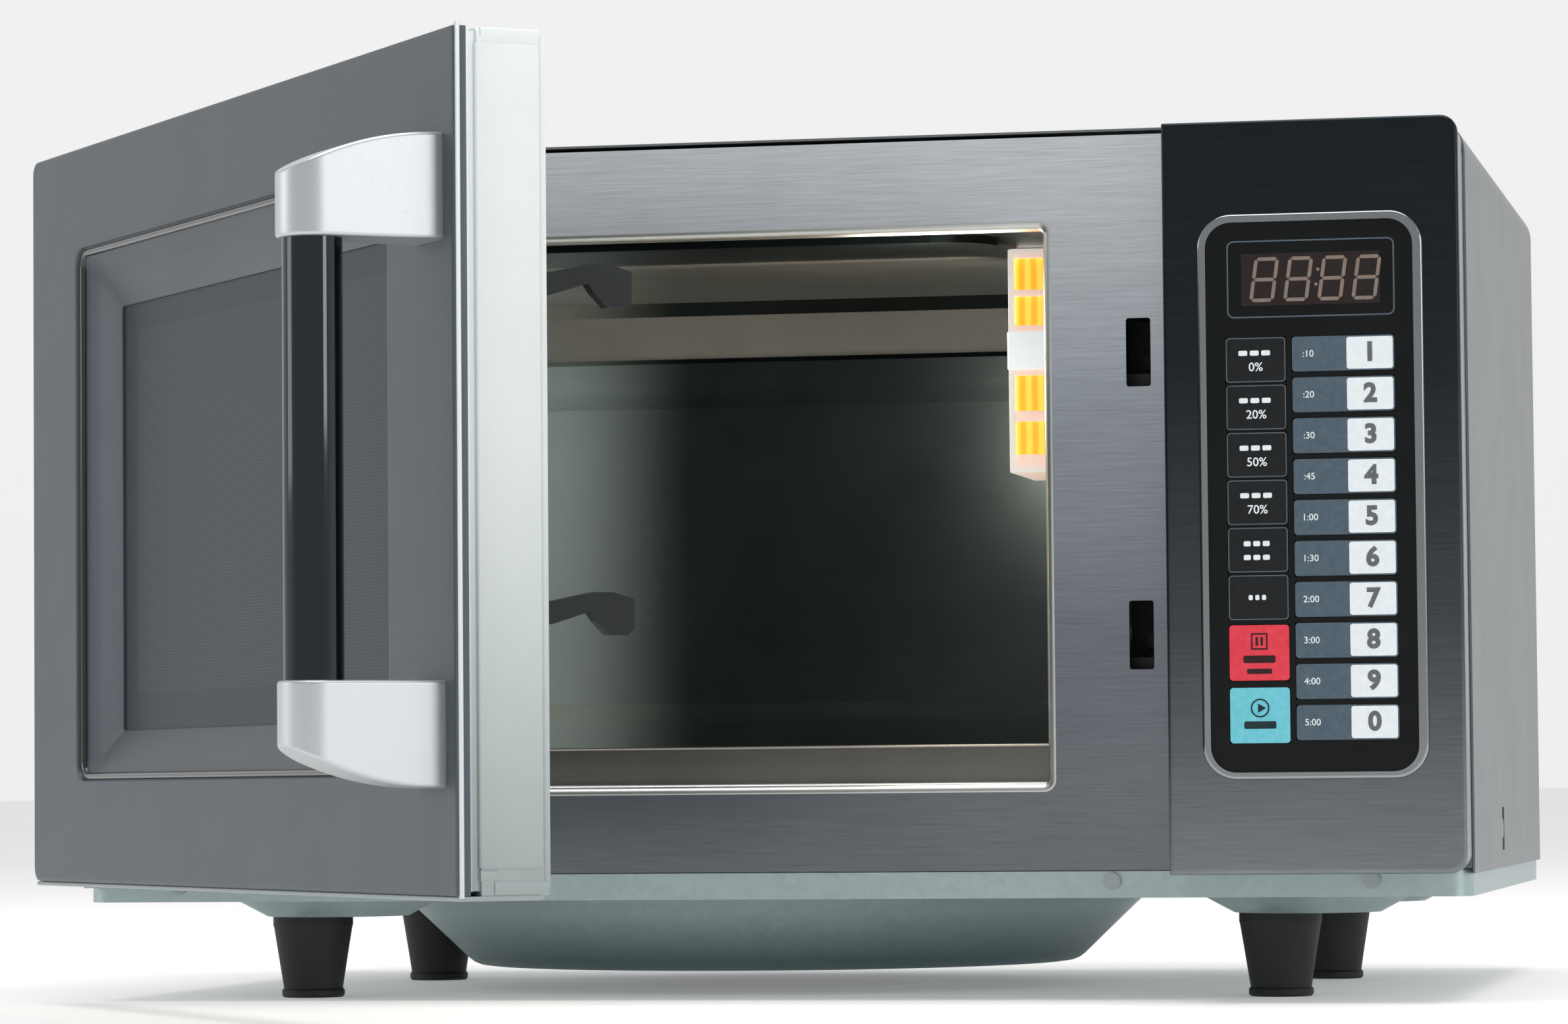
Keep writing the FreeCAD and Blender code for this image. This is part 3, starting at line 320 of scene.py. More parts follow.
def brushed_stainless(name, colours, roughness, low, high):
    """Stainless sheet, brushed from side to side; its colour is painted through the given tones with height
    between low and high, a painted reflection of the studio.
    """
    material, tree, surface, place = finish(name, colours[-1], roughness, 1.0)
    grain = noise(tree, place, 120, (0.35, 1, 26), 4, 0.7)
    blotch = noise(tree, place, 9, (1, 1, 1.6), 2)
    # Painted reflection: the colour follows the tones with height.
    level = between(tree, split(tree, place)["Z"], low, high)
    tone = ramp(tree, level, *[(i / (len(colours) - 1), c) for i, c in enumerate(colours)])
    shade = ramp(tree, grain, (0.3, 0.72), (0.7, 1.0))
    drift = ramp(tree, blotch, (0.35, 0.86), (0.65, 1.0))
    colour = mixed(tree, 0.6, mixed(tree, 1.0, tone, shade, "MULTIPLY"), drift, "MULTIPLY")
    tree.links.new(colour, surface.inputs["Base Color"])
    vary(tree, surface, "Roughness", grain, roughness - 0.08, roughness + 0.1)
    raise_grain(tree, surface, grain, 0.25, 0.00004)
    return material


def cavity_stainless(name, dark, light, roughness, wall=None):
    """Bright-annealed stainless inside the cavity: a soft mirror with faint rolling marks. Where wall is
    given, the sheet is painted brighter, to that tone, towards the left-hand wall: painted light from the
    lamp that shines on it."""
    material, tree, surface, place = finish(name, light, roughness, 1.0)
    roll = noise(tree, place, 60, (0.3, 1, 8), 3)
    smear = noise(tree, place, 14, (1, 1, 1), 4)
    colour = ramp(tree, smear, (0.3, dark), (0.7, light))
    if wall:
        # Painted lamp light: brighter towards the left-hand wall.
        lit = between(tree, split(tree, place)["X"], -92 * MM, -158 * MM, interpolation_type="SMOOTHSTEP")
        colour = mixed(tree, lit, colour, wall)
    tree.links.new(colour, surface.inputs["Base Color"])
    vary(tree, surface, "Roughness", roll, roughness * 0.92, roughness * 1.08)
    raise_grain(tree, surface, smear, 0.05, 0.0002)
    return material


def galvanised_steel(name, shaded, upper_tone):
    """Zinc-coated sheet: blue-grey, with the coating's crystal spangle. Sheet that sits low, under the oven,
    is painted darker towards the first tone, as painted shade; higher up it keeps the second."""
    material, tree, surface, place = finish(name, upper_tone, 0.4, 0.7)
    spangle = add(tree, "ShaderNodeTexVoronoi", {"Vector": place, "Scale": 300.0}).outputs["Color"]
    grey = add(tree, "ShaderNodeSeparateColor", {"Color": spangle}).outputs["Red"]
    # Painted shade: the tone darkens towards the bottom of the pan.
    level = between(tree, split(tree, place)["Z"], pan_low.z + 4 * MM, pan_high.z - 16 * MM)
    tone = ramp(tree, level, (0.0, shaded), (1.0, upper_tone))
    shade = ramp(tree, grey, (0.0, 0.9), (1.0, 1.0))
    tree.links.new(mixed(tree, 1.0, tone, shade, "MULTIPLY"), surface.inputs["Base Color"])
    vary(tree, surface, "Roughness", grey, 0.36, 0.44)
    raise_grain(tree, surface, noise(tree, place, 30), 0.15, 0.0003)
    return material


def chromed(name, tone, roughness):
    """Chromium plate: nearly a mirror, with a very faint polishing haze."""
    material, tree, surface, place = finish(name, tone, roughness, 1.0)
    haze = noise(tree, place, 40, (1, 1, 0.4), 4)
    vary(tree, surface, "Roughness", haze, roughness * 0.7, roughness * 1.6)
    raise_grain(tree, surface, haze, 0.04, 0.0001)
    return material


def satin_casting():
    """Zinc casting, bead-blasted and satin plated: an even, very fine matt sparkle."""
    material, tree, surface, place = finish("satin plated casting", "#bfc4c7", 0.4, 0.9)
    bead = noise(tree, place, 2600, (1, 1, 1), 2)
    vary(tree, surface, "Roughness", bead, 0.36, 0.5)
    raise_grain(tree, surface, bead, 0.12, 0.00004)
    return material


# Painted reflection: the front runs from mid grey at the bottom to near white at the top, the panel from
# light grey at the bottom to dark at the top.
FRONT_REFLECTION_TONES = ["#777c81", "#868c95", "#b9c0ca", "#f6faff"]
PANEL_REFLECTION_TONES = ["#838a8e", "#4f565a", "#30363a", "#2c3236"]
FRONT_STEEL = brushed_stainless("brushed stainless front", FRONT_REFLECTION_TONES, 0.3, plate_low.z, plate_high.z)
PANEL_STEEL = brushed_stainless("brushed stainless panel", PANEL_REFLECTION_TONES, 0.32, panel_low.z, panel_high.z)
# The cavity's stainless is one metal; its copies here differ only by painted light and shade. This one is
# dark, painted shade, with painted lamp light on the left wall; the next is painted bright for the ceiling's
# pressing and the rolled mouth.
CAVITY = cavity_stainless("mirror stainless in shade", "#3a4344", "#4a5354", 0.26, "#d3dddb")
CAVITY_PAINTED_BRIGHT = cavity_stainless("stainless painted bright", "#bfc1be", "#d0d2cf", 0.36)
pan_low, pan_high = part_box("base_pan")
# Both galvanised finishes are painted darker low down, as painted shade under the oven; the pan strongly,
# from pale blue-grey to dark teal.
GALVANISED = galvanised_steel("galvanised steel sheet", "#8e9a9c", "#98a3a5")
PAN_STEEL = galvanised_steel("galvanised steel pan", "#5f7478", "#a3b3b5")
# The tube's colour is far darker than chrome's own: painted dark reflections, with the lamps still leaving
# one white highlight.
CHROME = chromed("chromed steel tube", "#3f4246", 0.05)
BEZEL = chromed("bright pressed bezel", "#94989b", 0.16)
CASTING = satin_casting()
# More copies of the cavity's stainless in painted light: the slope and its ribs painted bright, the shelf's
# step painted a mid grey, and its lip painted bright as a painted highlight.
SLOPE_STEEL = cavity_stainless("stainless slope painted bright", "#b8babb", "#cdcfd0", 0.46)
STEP_STEEL = cavity_stainless("stainless step painted mid grey", "#6b6964", "#7b7974", 0.4)
LIP_STEEL = cavity_stainless("folded lip painted bright", "#dde1e2", "#eef1f2", 0.5)
print("metals made")

# %% [markdown]
# ## Paints
# The case and the door are steel with a baked polyester powder paint. Powder paint flows out in a low,
# rounded orange peel a millimetre or two across, with metal flake that gives a slight speckle.

# %% Paints

def powder_paint(name, colours, roughness):
    """Powder paint: two close tones in a fine speckle, over a shallow orange peel."""
    material, tree, surface, place = finish(name, colours[0], roughness, 0.25, **{"Coat Weight": 0.12,
                                            "Coat Roughness": 0.3})
    fleck = noise(tree, place, 2200, (1, 1, 1), 2, 0.7)
    colour = ramp(tree, fleck, (0.35, colours[0]), (0.65, colours[1]))
    tree.links.new(colour, surface.inputs["Base Color"])
    vary(tree, surface, "Roughness", noise(tree, place, 26), roughness - 0.05, roughness + 0.06)
    raise_grain(tree, surface, noise(tree, place, 900, (1, 1, 1), 2), 0.22, 0.00005)
    return material


CASE_PAINT = powder_paint("satin grey case paint", ("#62676b", "#6f7478"), 0.42)
DOOR_PAINT = powder_paint("mid grey door paint", ("#414a51", "#4a535a"), 0.46)
# Painted highlight: the door skin's fold, in the door's own paint, painted pale for the light it catches.
FOLD_PAINTED_HIGHLIGHT = powder_paint("painted highlight on the fold", ("#c3cacd", "#ccd3d6"), 0.35)
DARK_PAINT = powder_paint("black stoved paint", ("#17181a", "#222326"), 0.5)
print("paints made")

# %% [markdown]
# ## Plastics, rubber, glass and ceramic
# Moulded plastic copies the spark-eroded texture of its mould, a fine grain of about 0.3 mm. Rubber is the
# same but duller. The shelf is a milky glass-ceramic with tiny flecks.

# %% Plastics, rubber and glass

def moulded(name, colours, roughness, grain=1400, bump=0.25, painted_low_shade=None, **shader):
    """Moulded plastic with an eroded grain and a faint drift of tone. Where a low-end tint is given, the
    moulding is painted darker towards its lower end by that tint, as painted shade."""
    material, tree, surface, place = finish(name, colours[0], roughness, 0.0, **shader)
    pits = noise(tree, place, grain, (1, 1, 1), 3, 0.6)
    colour = ramp(tree, noise(tree, place, 35), (0.3, colours[0]), (0.7, colours[1]))
    # Painted shade: darker towards the bottom.
    if painted_low_shade:
        level = between(tree, split(tree, place)["Z"], case_low.z, case_high.z)
        fall = ramp(tree, level, (0.0, painted_low_shade), (0.5, "#e9ebeb"), (1.0, "#ffffff"))
        colour = mixed(tree, 1.0, colour, fall, "MULTIPLY")
    tree.links.new(colour, surface.inputs["Base Color"])
    vary(tree, surface, "Roughness", pits, roughness - 0.06, roughness + 0.08)
    raise_grain(tree, surface, pits, bump, 0.00006)
    return material


# The door frame is painted darker towards the bottom, as painted shade.
FRAME_PLASTIC = moulded("light moulded door frame", ("#e0e6e6", "#e4eaea"), 0.42, painted_low_shade="#a5acac")
HOUSING = moulded("grey moulded panel housing", ("#85898d", "#909498"), 0.42)
BLACK_NYLON = moulded("dark moulded nylon", ("#15191a", "#1e2324"), 0.5, **{"Specular IOR Level": 0.25})
BLACK_PLASTIC = moulded("black moulded plastic", ("#101112", "#191a1b"), 0.45)
RUBBER = moulded("black rubber", ("#0c0c0d", "#151516"), 0.6, 900, 0.4)
WHITE_PLASTIC = moulded("white moulded plastic", ("#e6e4de", "#f0eee9"), 0.4)
# The cover's faint emission is painted light: the bulb's glow through the plastic.
LAMP_WHITE = moulded("translucent lamp shade", ("#f1efea", "#f8f6f1"), 0.4, **{"Subsurface Weight": 0.15,
                     "Subsurface Radius": (0.5, 0.5, 0.5), "Emission Color": "#fff6ea",
                     "Emission Strength": 0.28})
CERAMIC = moulded("glass-ceramic shelf", ("#d3d3ce", "#d8d8d4"), 0.34, 1800, 0.06, **{"Coat Weight": 0.2,
                  "Coat Roughness": 0.3})
BOARD_GREEN = moulded("green circuit board", ("#14532d", "#1b6337"), 0.35)
ALUMINIUM = moulded("rolled aluminium", ("#b9bcc0", "#c8cbce"), 0.34, 700, 0.15, Metallic=1.0)
PAD_BLACK = moulded("black printed polyester film", ("#050708", "#0a0c0e"), 0.34, 2000, 0.1,
                    **{"Specular IOR Level": 0.2})


def lamp_glow():
    """The lit windows of the lamp's cover: amber light, ribbed by the slots behind."""
    material, tree, surface, place = finish("amber lamp light", "#ff9e25", 0.5, 0.0)
    ribs = add(tree, "ShaderNodeTexWave", {"Vector": place, "Scale": 70.0, "Distortion": 0.6},
               bands_direction="X").outputs["Fac"]
    colour = ramp(tree, ribs, (0.2, "#ff9420"), (0.8, "#ffb84a"))
    tree.links.new(colour, surface.inputs["Emission Color"])
    surface.inputs["Emission Strength"].default_value = 1.25
    return material


def lamp_and_holder():
    """The bulb glows inside the cover; its holder, outside the cavity's wall, is dark moulded plastic."""
    material, tree, surface, place = finish("lamp and holder", "#16181a", 0.45, 0.0)
    inside = maths(tree, "LESS_THAN", split(tree, place)["X"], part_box("lamp_cover")[1].x - 3 * MM)
    tree.links.new(ramp(tree, inside, (0.0, "#000000"), (1.0, "#ffb84a")), surface.inputs["Emission Color"])
    surface.inputs["Emission Strength"].default_value = 1.0
    raise_grain(tree, surface, noise(tree, place, 1200), 0.2, 0.00006)
    return material


def smoked_window():
    """The window's outer film: dark grey, with the perforated screen behind it showing as fine dots.

    The dots stand on a 1.25 mm pitch in staggered rows. Two grids of cells, one shifted by half a cell, make
    them. The pattern is laid out on the closed door, so the position is first turned back about the hinge."""
    pitch = 1.25 * MM
    row = pitch * math.sqrt(3)
    material, tree, surface, place = finish("smoked window film", "#363d41", 0.4, 0.0, **{
        "Specular IOR Level": 0.2, "Coat Weight": 0.06, "Coat Roughness": 0.12})
    back = add(tree, "ShaderNodeVectorRotate", {"Vector": place, "Center": PIVOT,
               "Angle": -math.radians(hinge["range_deg"][0])}, rotation_type="Z_AXIS").outputs["Vector"]
    closed = split(tree, back)
    dots = []
    for shift in (0.0, 0.5):
        squares = []
        for axis, step in (("X", pitch), ("Z", row)):
            cell = maths(tree, "ADD", maths(tree, "DIVIDE", closed[axis], step), shift)
            cell = add(tree, "ShaderNodeMath", {0: cell}, operation="FRACT").outputs[0]
            cell = maths(tree, "MULTIPLY", maths(tree, "SUBTRACT", cell, 0.5), step)
            squares.append(maths(tree, "POWER", cell, 2.0))
        dots.append(maths(tree, "POWER", maths(tree, "ADD", *squares), 0.5))
    hole = between(tree, maths(tree, "MINIMUM", *dots), 0.4 * MM, 0.26 * MM)
    inside = []
    for axis, low, high in (("X", DOOR_LEFT + 83 * MM, DOOR_LEFT + 334 * MM), ("Z", 112 * MM, 241 * MM)):
        over = maths(tree, "GREATER_THAN", closed[axis], low)
        inside.append(maths(tree, "MULTIPLY", over, maths(tree, "LESS_THAN", closed[axis], high)))
    shown = maths(tree, "MULTIPLY", maths(tree, "MULTIPLY", *inside), hole)
    tree.links.new(mixed(tree, shown, "#2a3236", "#3f484d"), surface.inputs["Base Color"])
    raise_grain(tree, surface, shown, 0.2, 0.0001)
    return material


# The band's emission is painted light: the bulb's glow through it.
LAMP_BAND = moulded("clear lamp band", ("#f7f9fa", "#ffffff"), 0.3, **{"Emission Color": "#f4f8fb",
                    "Emission Strength": 0.5})
BEAD = moulded("glossy black bead", ("#060708", "#0a0b0c"), 0.16, 900, 0.05, **{"Coat Weight": 0.6})
LAMP_GLOW = lamp_glow()
LAMP_BULB = lamp_and_holder()
WINDOW = smoked_window()
print("plastics and glass made")

# %% [markdown]
# ## Finishes of the keys
# The keys are short domes pressed from printed polyester film. Each colour is a base tone under a thin gloss
# layer, with the faint crinkle that film has once it has been pushed a few thousand times.

# %% Key finishes

def key_film(name, colour, tint):
    """Printed film over a dome: gloss with a very shallow crinkle."""
    material, tree, surface, place = finish(name, colour, 0.34, 0.0, **{"Coat Weight": 0.08,
                                            "Specular IOR Level": 0.25})
    crinkle = noise(tree, place, 420, (1, 1, 1), 3)
    tone = ramp(tree, crinkle, (0.3, colour), (0.7, tint))
    tree.links.new(tone, surface.inputs["Base Color"])
    vary(tree, surface, "Roughness", crinkle, 0.26, 0.42)
    raise_grain(tree, surface, crinkle, 0.12, 0.0001)
    return material


KEY_BLACK = key_film("key film black", "#0e1113", "#15181b")
KEY_RED = key_film("key film red", "#d93646", "#e34553")
KEY_BLUE = key_film("key film cyan", "#66c0d1", "#76cbda")
KEY_SLATE = key_film("key film slate", "#495966", "#53636f")
INK_WHITE = key_film("white printing ink", "#e2eaee", "#ebf1f4")
INK_GREY = key_film("grey printing ink", "#5d6266", "#686d71")
INK_SLATE = key_film("slate printing ink", "#4d5a63", "#57646d")
INK_DARK = key_film("dark printing ink", "#2a1318", "#33191e")
INK_NAVY = key_film("navy printing ink", "#10282e", "#17323a")
SCREEN = key_film("display window", "#1d1715", "#241d1a")
DIGIT = key_film("display digits at rest", "#7d6f66", "#887a70")
print("key finishes made")

# %% [markdown]
# ## Every CAD piece gets its finish
# Pieces deep inside the oven are never seen in the main view, but they are seen when the model is turned or
# taken apart, so they get their real finishes too.

# %% Finishes for the CAD pieces
finishes = {
    CASE_PAINT: ["case"],
    FRONT_STEEL: ["front_plate"],
    PANEL_STEEL: ["panel_skin"],
    CAVITY: ["cavity_liner"],
    PAN_STEEL: ["base_pan"],
    GALVANISED: ["rear_panel", "fan_frame", "waveguide", "antenna_well", "hinge_plates", "case_screws",
                 "magnetron", "transformer", "choke_cover"],
    DOOR_PAINT: ["door_skin"],
    FRAME_PLASTIC: ["door_frame"],
    HOUSING: ["panel_housing", "fan_blade"],
    BLACK_NYLON: ["latch_hooks"],
    BLACK_PLASTIC: ["cord_gland", "rear_standoffs", "window_inner", "switch_plunger_upper",
                    "switch_plunger_lower"],
    WHITE_PLASTIC: ["antenna_motor"],
    RUBBER: ["feet"],
    CERAMIC: ["shelf"],
    LAMP_WHITE: ["lamp_cover"],
    LAMP_BULB: ["lamp"],
    ALUMINIUM: ["antenna", "capacitor"],
    BOARD_GREEN: ["control_board"],
    CHROME: ["handle_tube"],
    BEZEL: ["keypad_bezel"],
    CASTING: ["bracket_upper", "bracket_lower"],
    WINDOW: ["window_film"],
    DARK_PAINT: ["window_screen", "motor_cover", "latch_bracket"],
    PAD_BLACK: ["display", "keypad"],
    KEY_RED: ["key_stop"],
    KEY_BLUE: ["key_start"],
    KEY_BLACK: [f"key_program_{n}" for n in range(1, 7)],
    KEY_SLATE: [f"key_number_{n}" for n in range(10)],
}
dressed = set()
for material, names in finishes.items():
    for name in names:
        mesh = frame["nodes"][name].data
        for index in range(max(1, len(mesh.materials))):
            if index < len(mesh.materials):
                mesh.materials[index] = material
            else:
                mesh.materials.append(material)
        dressed.add(name)
print("dressed", len(dressed), "pieces; left plain:", sorted(set(frame["nodes"]) - dressed))

# %% [markdown]
# ## The door's steel skin
# The real skin is one sheet of 0.8 mm steel. A press folds its edges back and draws the window's dish into
# it, with a tight step first and then an even slope. It could be modelled by insetting a face many times.
# Here it is a chain of rounded rectangles from the window's edge out to the fold and back again. The edges of
# each are extruded and moved on to the next, which keeps every step of the press under control.

# %% Chain of loops

def rounded_ring(left, low, right, high, y, radii, segments=6):
    """The points of a rounded rectangle, anticlockwise seen from the front, from its low left corner."""
    centres = [(left, low, 1, 1, 180), (right, low, -1, 1, 270), (right, high, -1, -1, 0),
               (left, high, 1, -1, 90)]
    points = []
    for (x, z, inward, upward, start), radius in zip(centres, radii):
        for step in range(segments + 1):
            turn = math.radians(start + 90 * step / segments)
            points.append(Vector((x + inward * radius + radius * math.cos(turn), y,
                                  z + upward * radius + radius * math.sin(turn))))
    return points


def chain(bm, loops, closed=False):
    """Extrude a rounded rectangle's edges from ring to ring. Each is left, low, right, high, y and radii."""
    rings = [rounded_ring(*loop) for loop in loops]
    verts = [bm.verts.new(point) for point in rings[0]]
    edges = [bm.edges.new((verts[i - 1], verts[i])) for i in range(len(verts))]
    for points in rings[1:] + ([rings[0]] if closed else []):
        place = {v.co.to_tuple(9): point for v, point in zip(verts, points)}
        order = {v.co.to_tuple(9): i for i, v in enumerate(verts)}
        made = bmesh.ops.extrude_edge_only(bm, edges=edges)["geom"]
        fresh = [g for g in made if isinstance(g, bmesh.types.BMVert)]
        fresh.sort(key=lambda v: order[v.co.to_tuple(9)])
        edges = [g for g in made if isinstance(g, bmesh.types.BMEdge) and all(v in fresh for v in g.verts)]
        for v in fresh:
            v.co = place[v.co.to_tuple(9)]
        verts = fresh


def grown(rect, by, y, radii):
    """A rectangle grown on all sides, at a depth, with its corner radii."""
    left, low, right, high = rect
    return (left - by, low - by, right + by, high + by, y, radii)


def corners(hinge_side, free_side):
    """Corner radii for a loop, in millimetres: low left, low right, high right, high left."""
    return [hinge_side * MM, free_side * MM, free_side * MM, hinge_side * MM]


print("chain of loops ready")


# %% [markdown]
# The measures of the dish are the press tool's: the opening, how deep it goes and how far each side slopes.

# %% Door skin
DISH = (DOOR_LEFT + 49 * MM, 81 * MM, DOOR_LEFT + 352 * MM, 272.5 * MM)
SIGHT = (DISH[0] + 20 * MM, DISH[1] + 18 * MM, DISH[2] - 20 * MM, DISH[3] - 22 * MM)
EDGE = (DOOR_LEFT, DOOR_LOW, DOOR_LEFT + 406.5 * MM, DOOR_HIGH)


def blend_rects(a, b, t):
    """The rectangle part of the way from one to another."""
    return tuple(p + (q - p) * t for p, q in zip(a, b))


def skin_loops():
    """Front of the dish, the flat face, the folded edge, then the back of the sheet."""
    loops = [grown(SIGHT, 0, DOOR_FACE + 11 * MM, corners(1, 1)),
             grown(SIGHT, 0.6 * MM, DOOR_FACE + 10.6 * MM, corners(1.6, 1.6))]
    for t, depth, radius in ((0.5, 6.5, 3.5), (0.8, 4.6, 4.8), (0.84, 4.2, 5.2), (0.86, 3.9, 5.4)):
        loops.append((*blend_rects(SIGHT, DISH, t), DOOR_FACE + depth * MM, corners(radius, radius)))
    for out, depth, radius in ((-0.5, 3.6, 6.6), (-0.4, 1.0, 6.8), (-0.1, 0.3, 7), (0.5, 0, 7.4),
                               (1.2, 0, 8)):
        loops.append(grown(DISH, out * MM, DOOR_FACE + depth * MM, corners(radius, radius)))
    for out, depth, free in ((-1.4, 0, 0.9), (-0.9, 0, 0.9), (-0.3, 0.22, 0.8), (0, 0.9, 0.7),
                             (0, 4.6, 0.7)):
        loops.append(grown(EDGE, out * MM, DOOR_FACE + depth * MM, corners(5 + out, free)))
    for out, depth in ((-0.8, 4.6), (-0.8, 0.9)):
        loops.append(grown(EDGE, out * MM, DOOR_FACE + depth * MM, corners(4.2, 0.3)))
    loops.append(grown(DISH, 0.8 * MM, DOOR_FACE + 0.9 * MM, corners(7.4, 7.4)))
    loops.append(grown(SIGHT, 0.6 * MM, DOOR_FACE + 11.8 * MM, corners(1, 1)))
    loops.append(grown(SIGHT, 0, DOOR_FACE + 11.8 * MM, corners(1, 1)))
    return loops


bm = bmesh.new()
chain(bm, skin_loops(), closed=True)
piece("door_skin_pressed", bm, DOOR_PAINT, "door", "door_skin", "door_paint", door=True)
print("door skin pressed")

# %% [markdown]
# A glossy black bead lies in the step round the dish and draws the dark line that runs there. Its
# cross-section is half a circle, so it carries one thin highlight between two dark lines all the way down the
# hinge side.

# %% Bead round the dish
BEAD_RADIUS, BEAD_INSET, BEAD_DEPTH, BEAD_STEPS = 1.5 * MM, 1.7 * MM, 2.7 * MM, 8
loops = []
for step in range(BEAD_STEPS + 1):
    turn = math.pi * step / BEAD_STEPS
    out = BEAD_RADIUS * math.cos(turn) - BEAD_INSET
    depth = BEAD_DEPTH - BEAD_RADIUS * math.sin(turn)
    loops.append(grown(DISH, out, DOOR_FACE + depth, [7 * MM + out] * 4))
bm = bmesh.new()
chain(bm, loops)
piece("dish_bead", bm, BEAD, "door", slot="rubber", door=True)
print("bead laid")

# %% [markdown]
# ## The panel's steel skin
# The skin over the controls is pressed like the door's: a flat face with a hole for the keypad, a small
# rounded fold at its edge, and a short return.

# %% Panel skin
PANEL = (panel_low.x, panel_low.z, panel_high.x, panel_high.z)
PAD = (pad_low.x, pad_low.z, pad_high.x, pad_high.z)


def panel_loops():
    """From the keypad's hole over the face and the fold, then back along the inside of the sheet."""
    loops = [grown(PAD, 0.6 * MM, DOOR_FACE + 0.8 * MM, [9.6 * MM] * 4),
             grown(PAD, 0.6 * MM, DOOR_FACE, [9.6 * MM] * 4), grown(PAD, 4.2 * MM, DOOR_FACE, [13 * MM] * 4)]
    for out, depth, left, right in ((-1.9, 0, 0.6, 5), (-1.2, 0, 0.6, 5.2), (-0.7, 0.1, 0.6, 5.5),
                                    (-0.25, 0.4, 0.6, 5.8), (0, 1, 0.6, 6), (0, 4.6, 0.6, 6)):
        loops.append(grown(PANEL, out * MM, DOOR_FACE + depth * MM, corners(left, right)))
    for depth in (4.6, 0.9):
        loops.append(grown(PANEL, -SHEET, DOOR_FACE + depth * MM, corners(0.3, 5.2)))
    return loops


bm = bmesh.new()
chain(bm, panel_loops(), closed=True)
piece("panel_skin_pressed", bm, PANEL_STEEL, replaces="panel_skin", slot="brushed_stainless", angle=40)
print("panel skin pressed")

# %% [markdown]
# ## The door's moulded edge
# On the free side and along the top and bottom the moulded frame shows behind the steel skin. It is stepped:
# a groove just behind the skin, a rib, and a wide flat face. The steps are the lips that hold the choke
# cover. The skin's own fold catches the light, and a pale strip over it is the painted highlight of that
# light.

# %% Door frame trims

def trim(name, low, high, radius, material=FRAME_PLASTIC, axis=2):
    """A slim moulded bar on the closed door, given in door millimetres, eased on its long edges."""
    bar(name, on_door(*low), on_door(*high), radius * MM, axis, material, segments=3, body="door", door=True)


# The pale strip on the fold is a painted highlight.
trim("door_return_strip", (405.9, 0.9, 44.4), (406.6, 2.6, 309.6), 0.25, material=FOLD_PAINTED_HIGHLIGHT)
trim("door_edge_front_lip", (404.2, 2.9, 46.4), (406.45, 5.5, 307.4), 0.5)
trim("door_edge_plate", (404.6, 7.7, 53.4), (406.45, 28.8, 303.6), 0.7)
trim("door_edge_back_lip", (403.5, 28.6, 47.4), (406.4, 31, 306.4), 0.8)
trim("door_foot_lip", (0.8, 1, 43.45), (406.2, 28, 44.9), 0.5, axis=0)
trim("door_foot_ledge", (396, 12.5, 45.1), (406.5, 30.4, 49.6), 0.9, axis=1)
trim("door_foot_heel", (398, 8, 49.4), (406.4, 13.5, 53), 0.8, axis=1)
trim("door_head_ledge", (392, 9.5, 305.2), (406.5, 28.5, 308.2), 0.7, axis=1)
trim("door_head_inner", (396, 11, 301.6), (406.3, 27.5, 303.4), 0.5, axis=1)
print("door trims made")

# %% [markdown]
# ## The front plate and its rolled mouth
# The front plate is a flat blank, cut by laser: a mouth for the cavity and two slots for the door's hooks. In
# a flat blank with holes, the outlines are filled with triangles and then given their thickness. The sheet
# rolls over into the cavity, so nobody cuts a hand on it. A rolled edge always carries a thin bright line.

# %% Front plate
liner_low, liner_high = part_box("cavity_liner")
SILL, CEILING, REAR = liner_low.z + SHEET, liner_high.z - SHEET, liner_high.y - SHEET
MOUTH = (liner_low.x + SHEET, SILL, liner_high.x - SHEET, CEILING - 2.6 * MM)
SLOT_LEFT, SLOT_RIGHT, SLOT_TALL = 134.2 * MM, 143 * MM, 24.5 * MM
blank = (plate_low.x, plate_low.z, plate_high.x, plate_high.z, [0.5 * MM, 0.5 * MM, 11.2 * MM, 11.2 * MM])
slots = [(SLOT_LEFT, low, SLOT_RIGHT, low + SLOT_TALL, [1 * MM] * 4) for low in (117.6 * MM, 218.5 * MM)]
bm = pierced(blank, [(*MOUTH, [4 * MM] * 4), *slots], FRONT, SHEET, 0.22 * MM)
piece("front_plate_sheet", bm, FRONT_STEEL, replaces="front_plate", slot="brushed_stainless", angle=12)


def rolled_mouth(roll):
    """A quarter roll from the plate's face back into the cavity, with a straight lip behind it."""
    bm = bmesh.new()
    loops = [grown(MOUTH, 0.3 * MM, FRONT - 0.05 * MM, [4.3 * MM] * 4)]
    for step in range(9):
        turn = math.radians(90 * step / 8)
        out = -roll * math.sin(turn)
        depth = roll * (1 - math.cos(turn)) - 0.1 * MM
        loops.append(grown(MOUTH, out, FRONT + depth, [4 * MM + out * 0.8] * 4))
    loops.append(grown(MOUTH, -roll, FRONT + 9 * MM, [4 * MM - roll * 0.8] * 4))
    chain(bm, loops)
    return bm


# The roll is painted bright: a painted highlight round the mouth.
piece("rolled_mouth_edge", rolled_mouth(2.6 * MM), CAVITY_PAINTED_BRIGHT, slot="brushed_stainless")
print("front plate and mouth made")

# %% [markdown]
# ## Pressings inside the cavity
# A flat sheet this wide would drum and buckle, so its ceiling and its rear wall carry shallow pressed panels
# with broad, soft steps. Each is a chain of rings at rising depths. The ceiling's is built upright like the
# rear one and then laid flat.

# %% Pressings

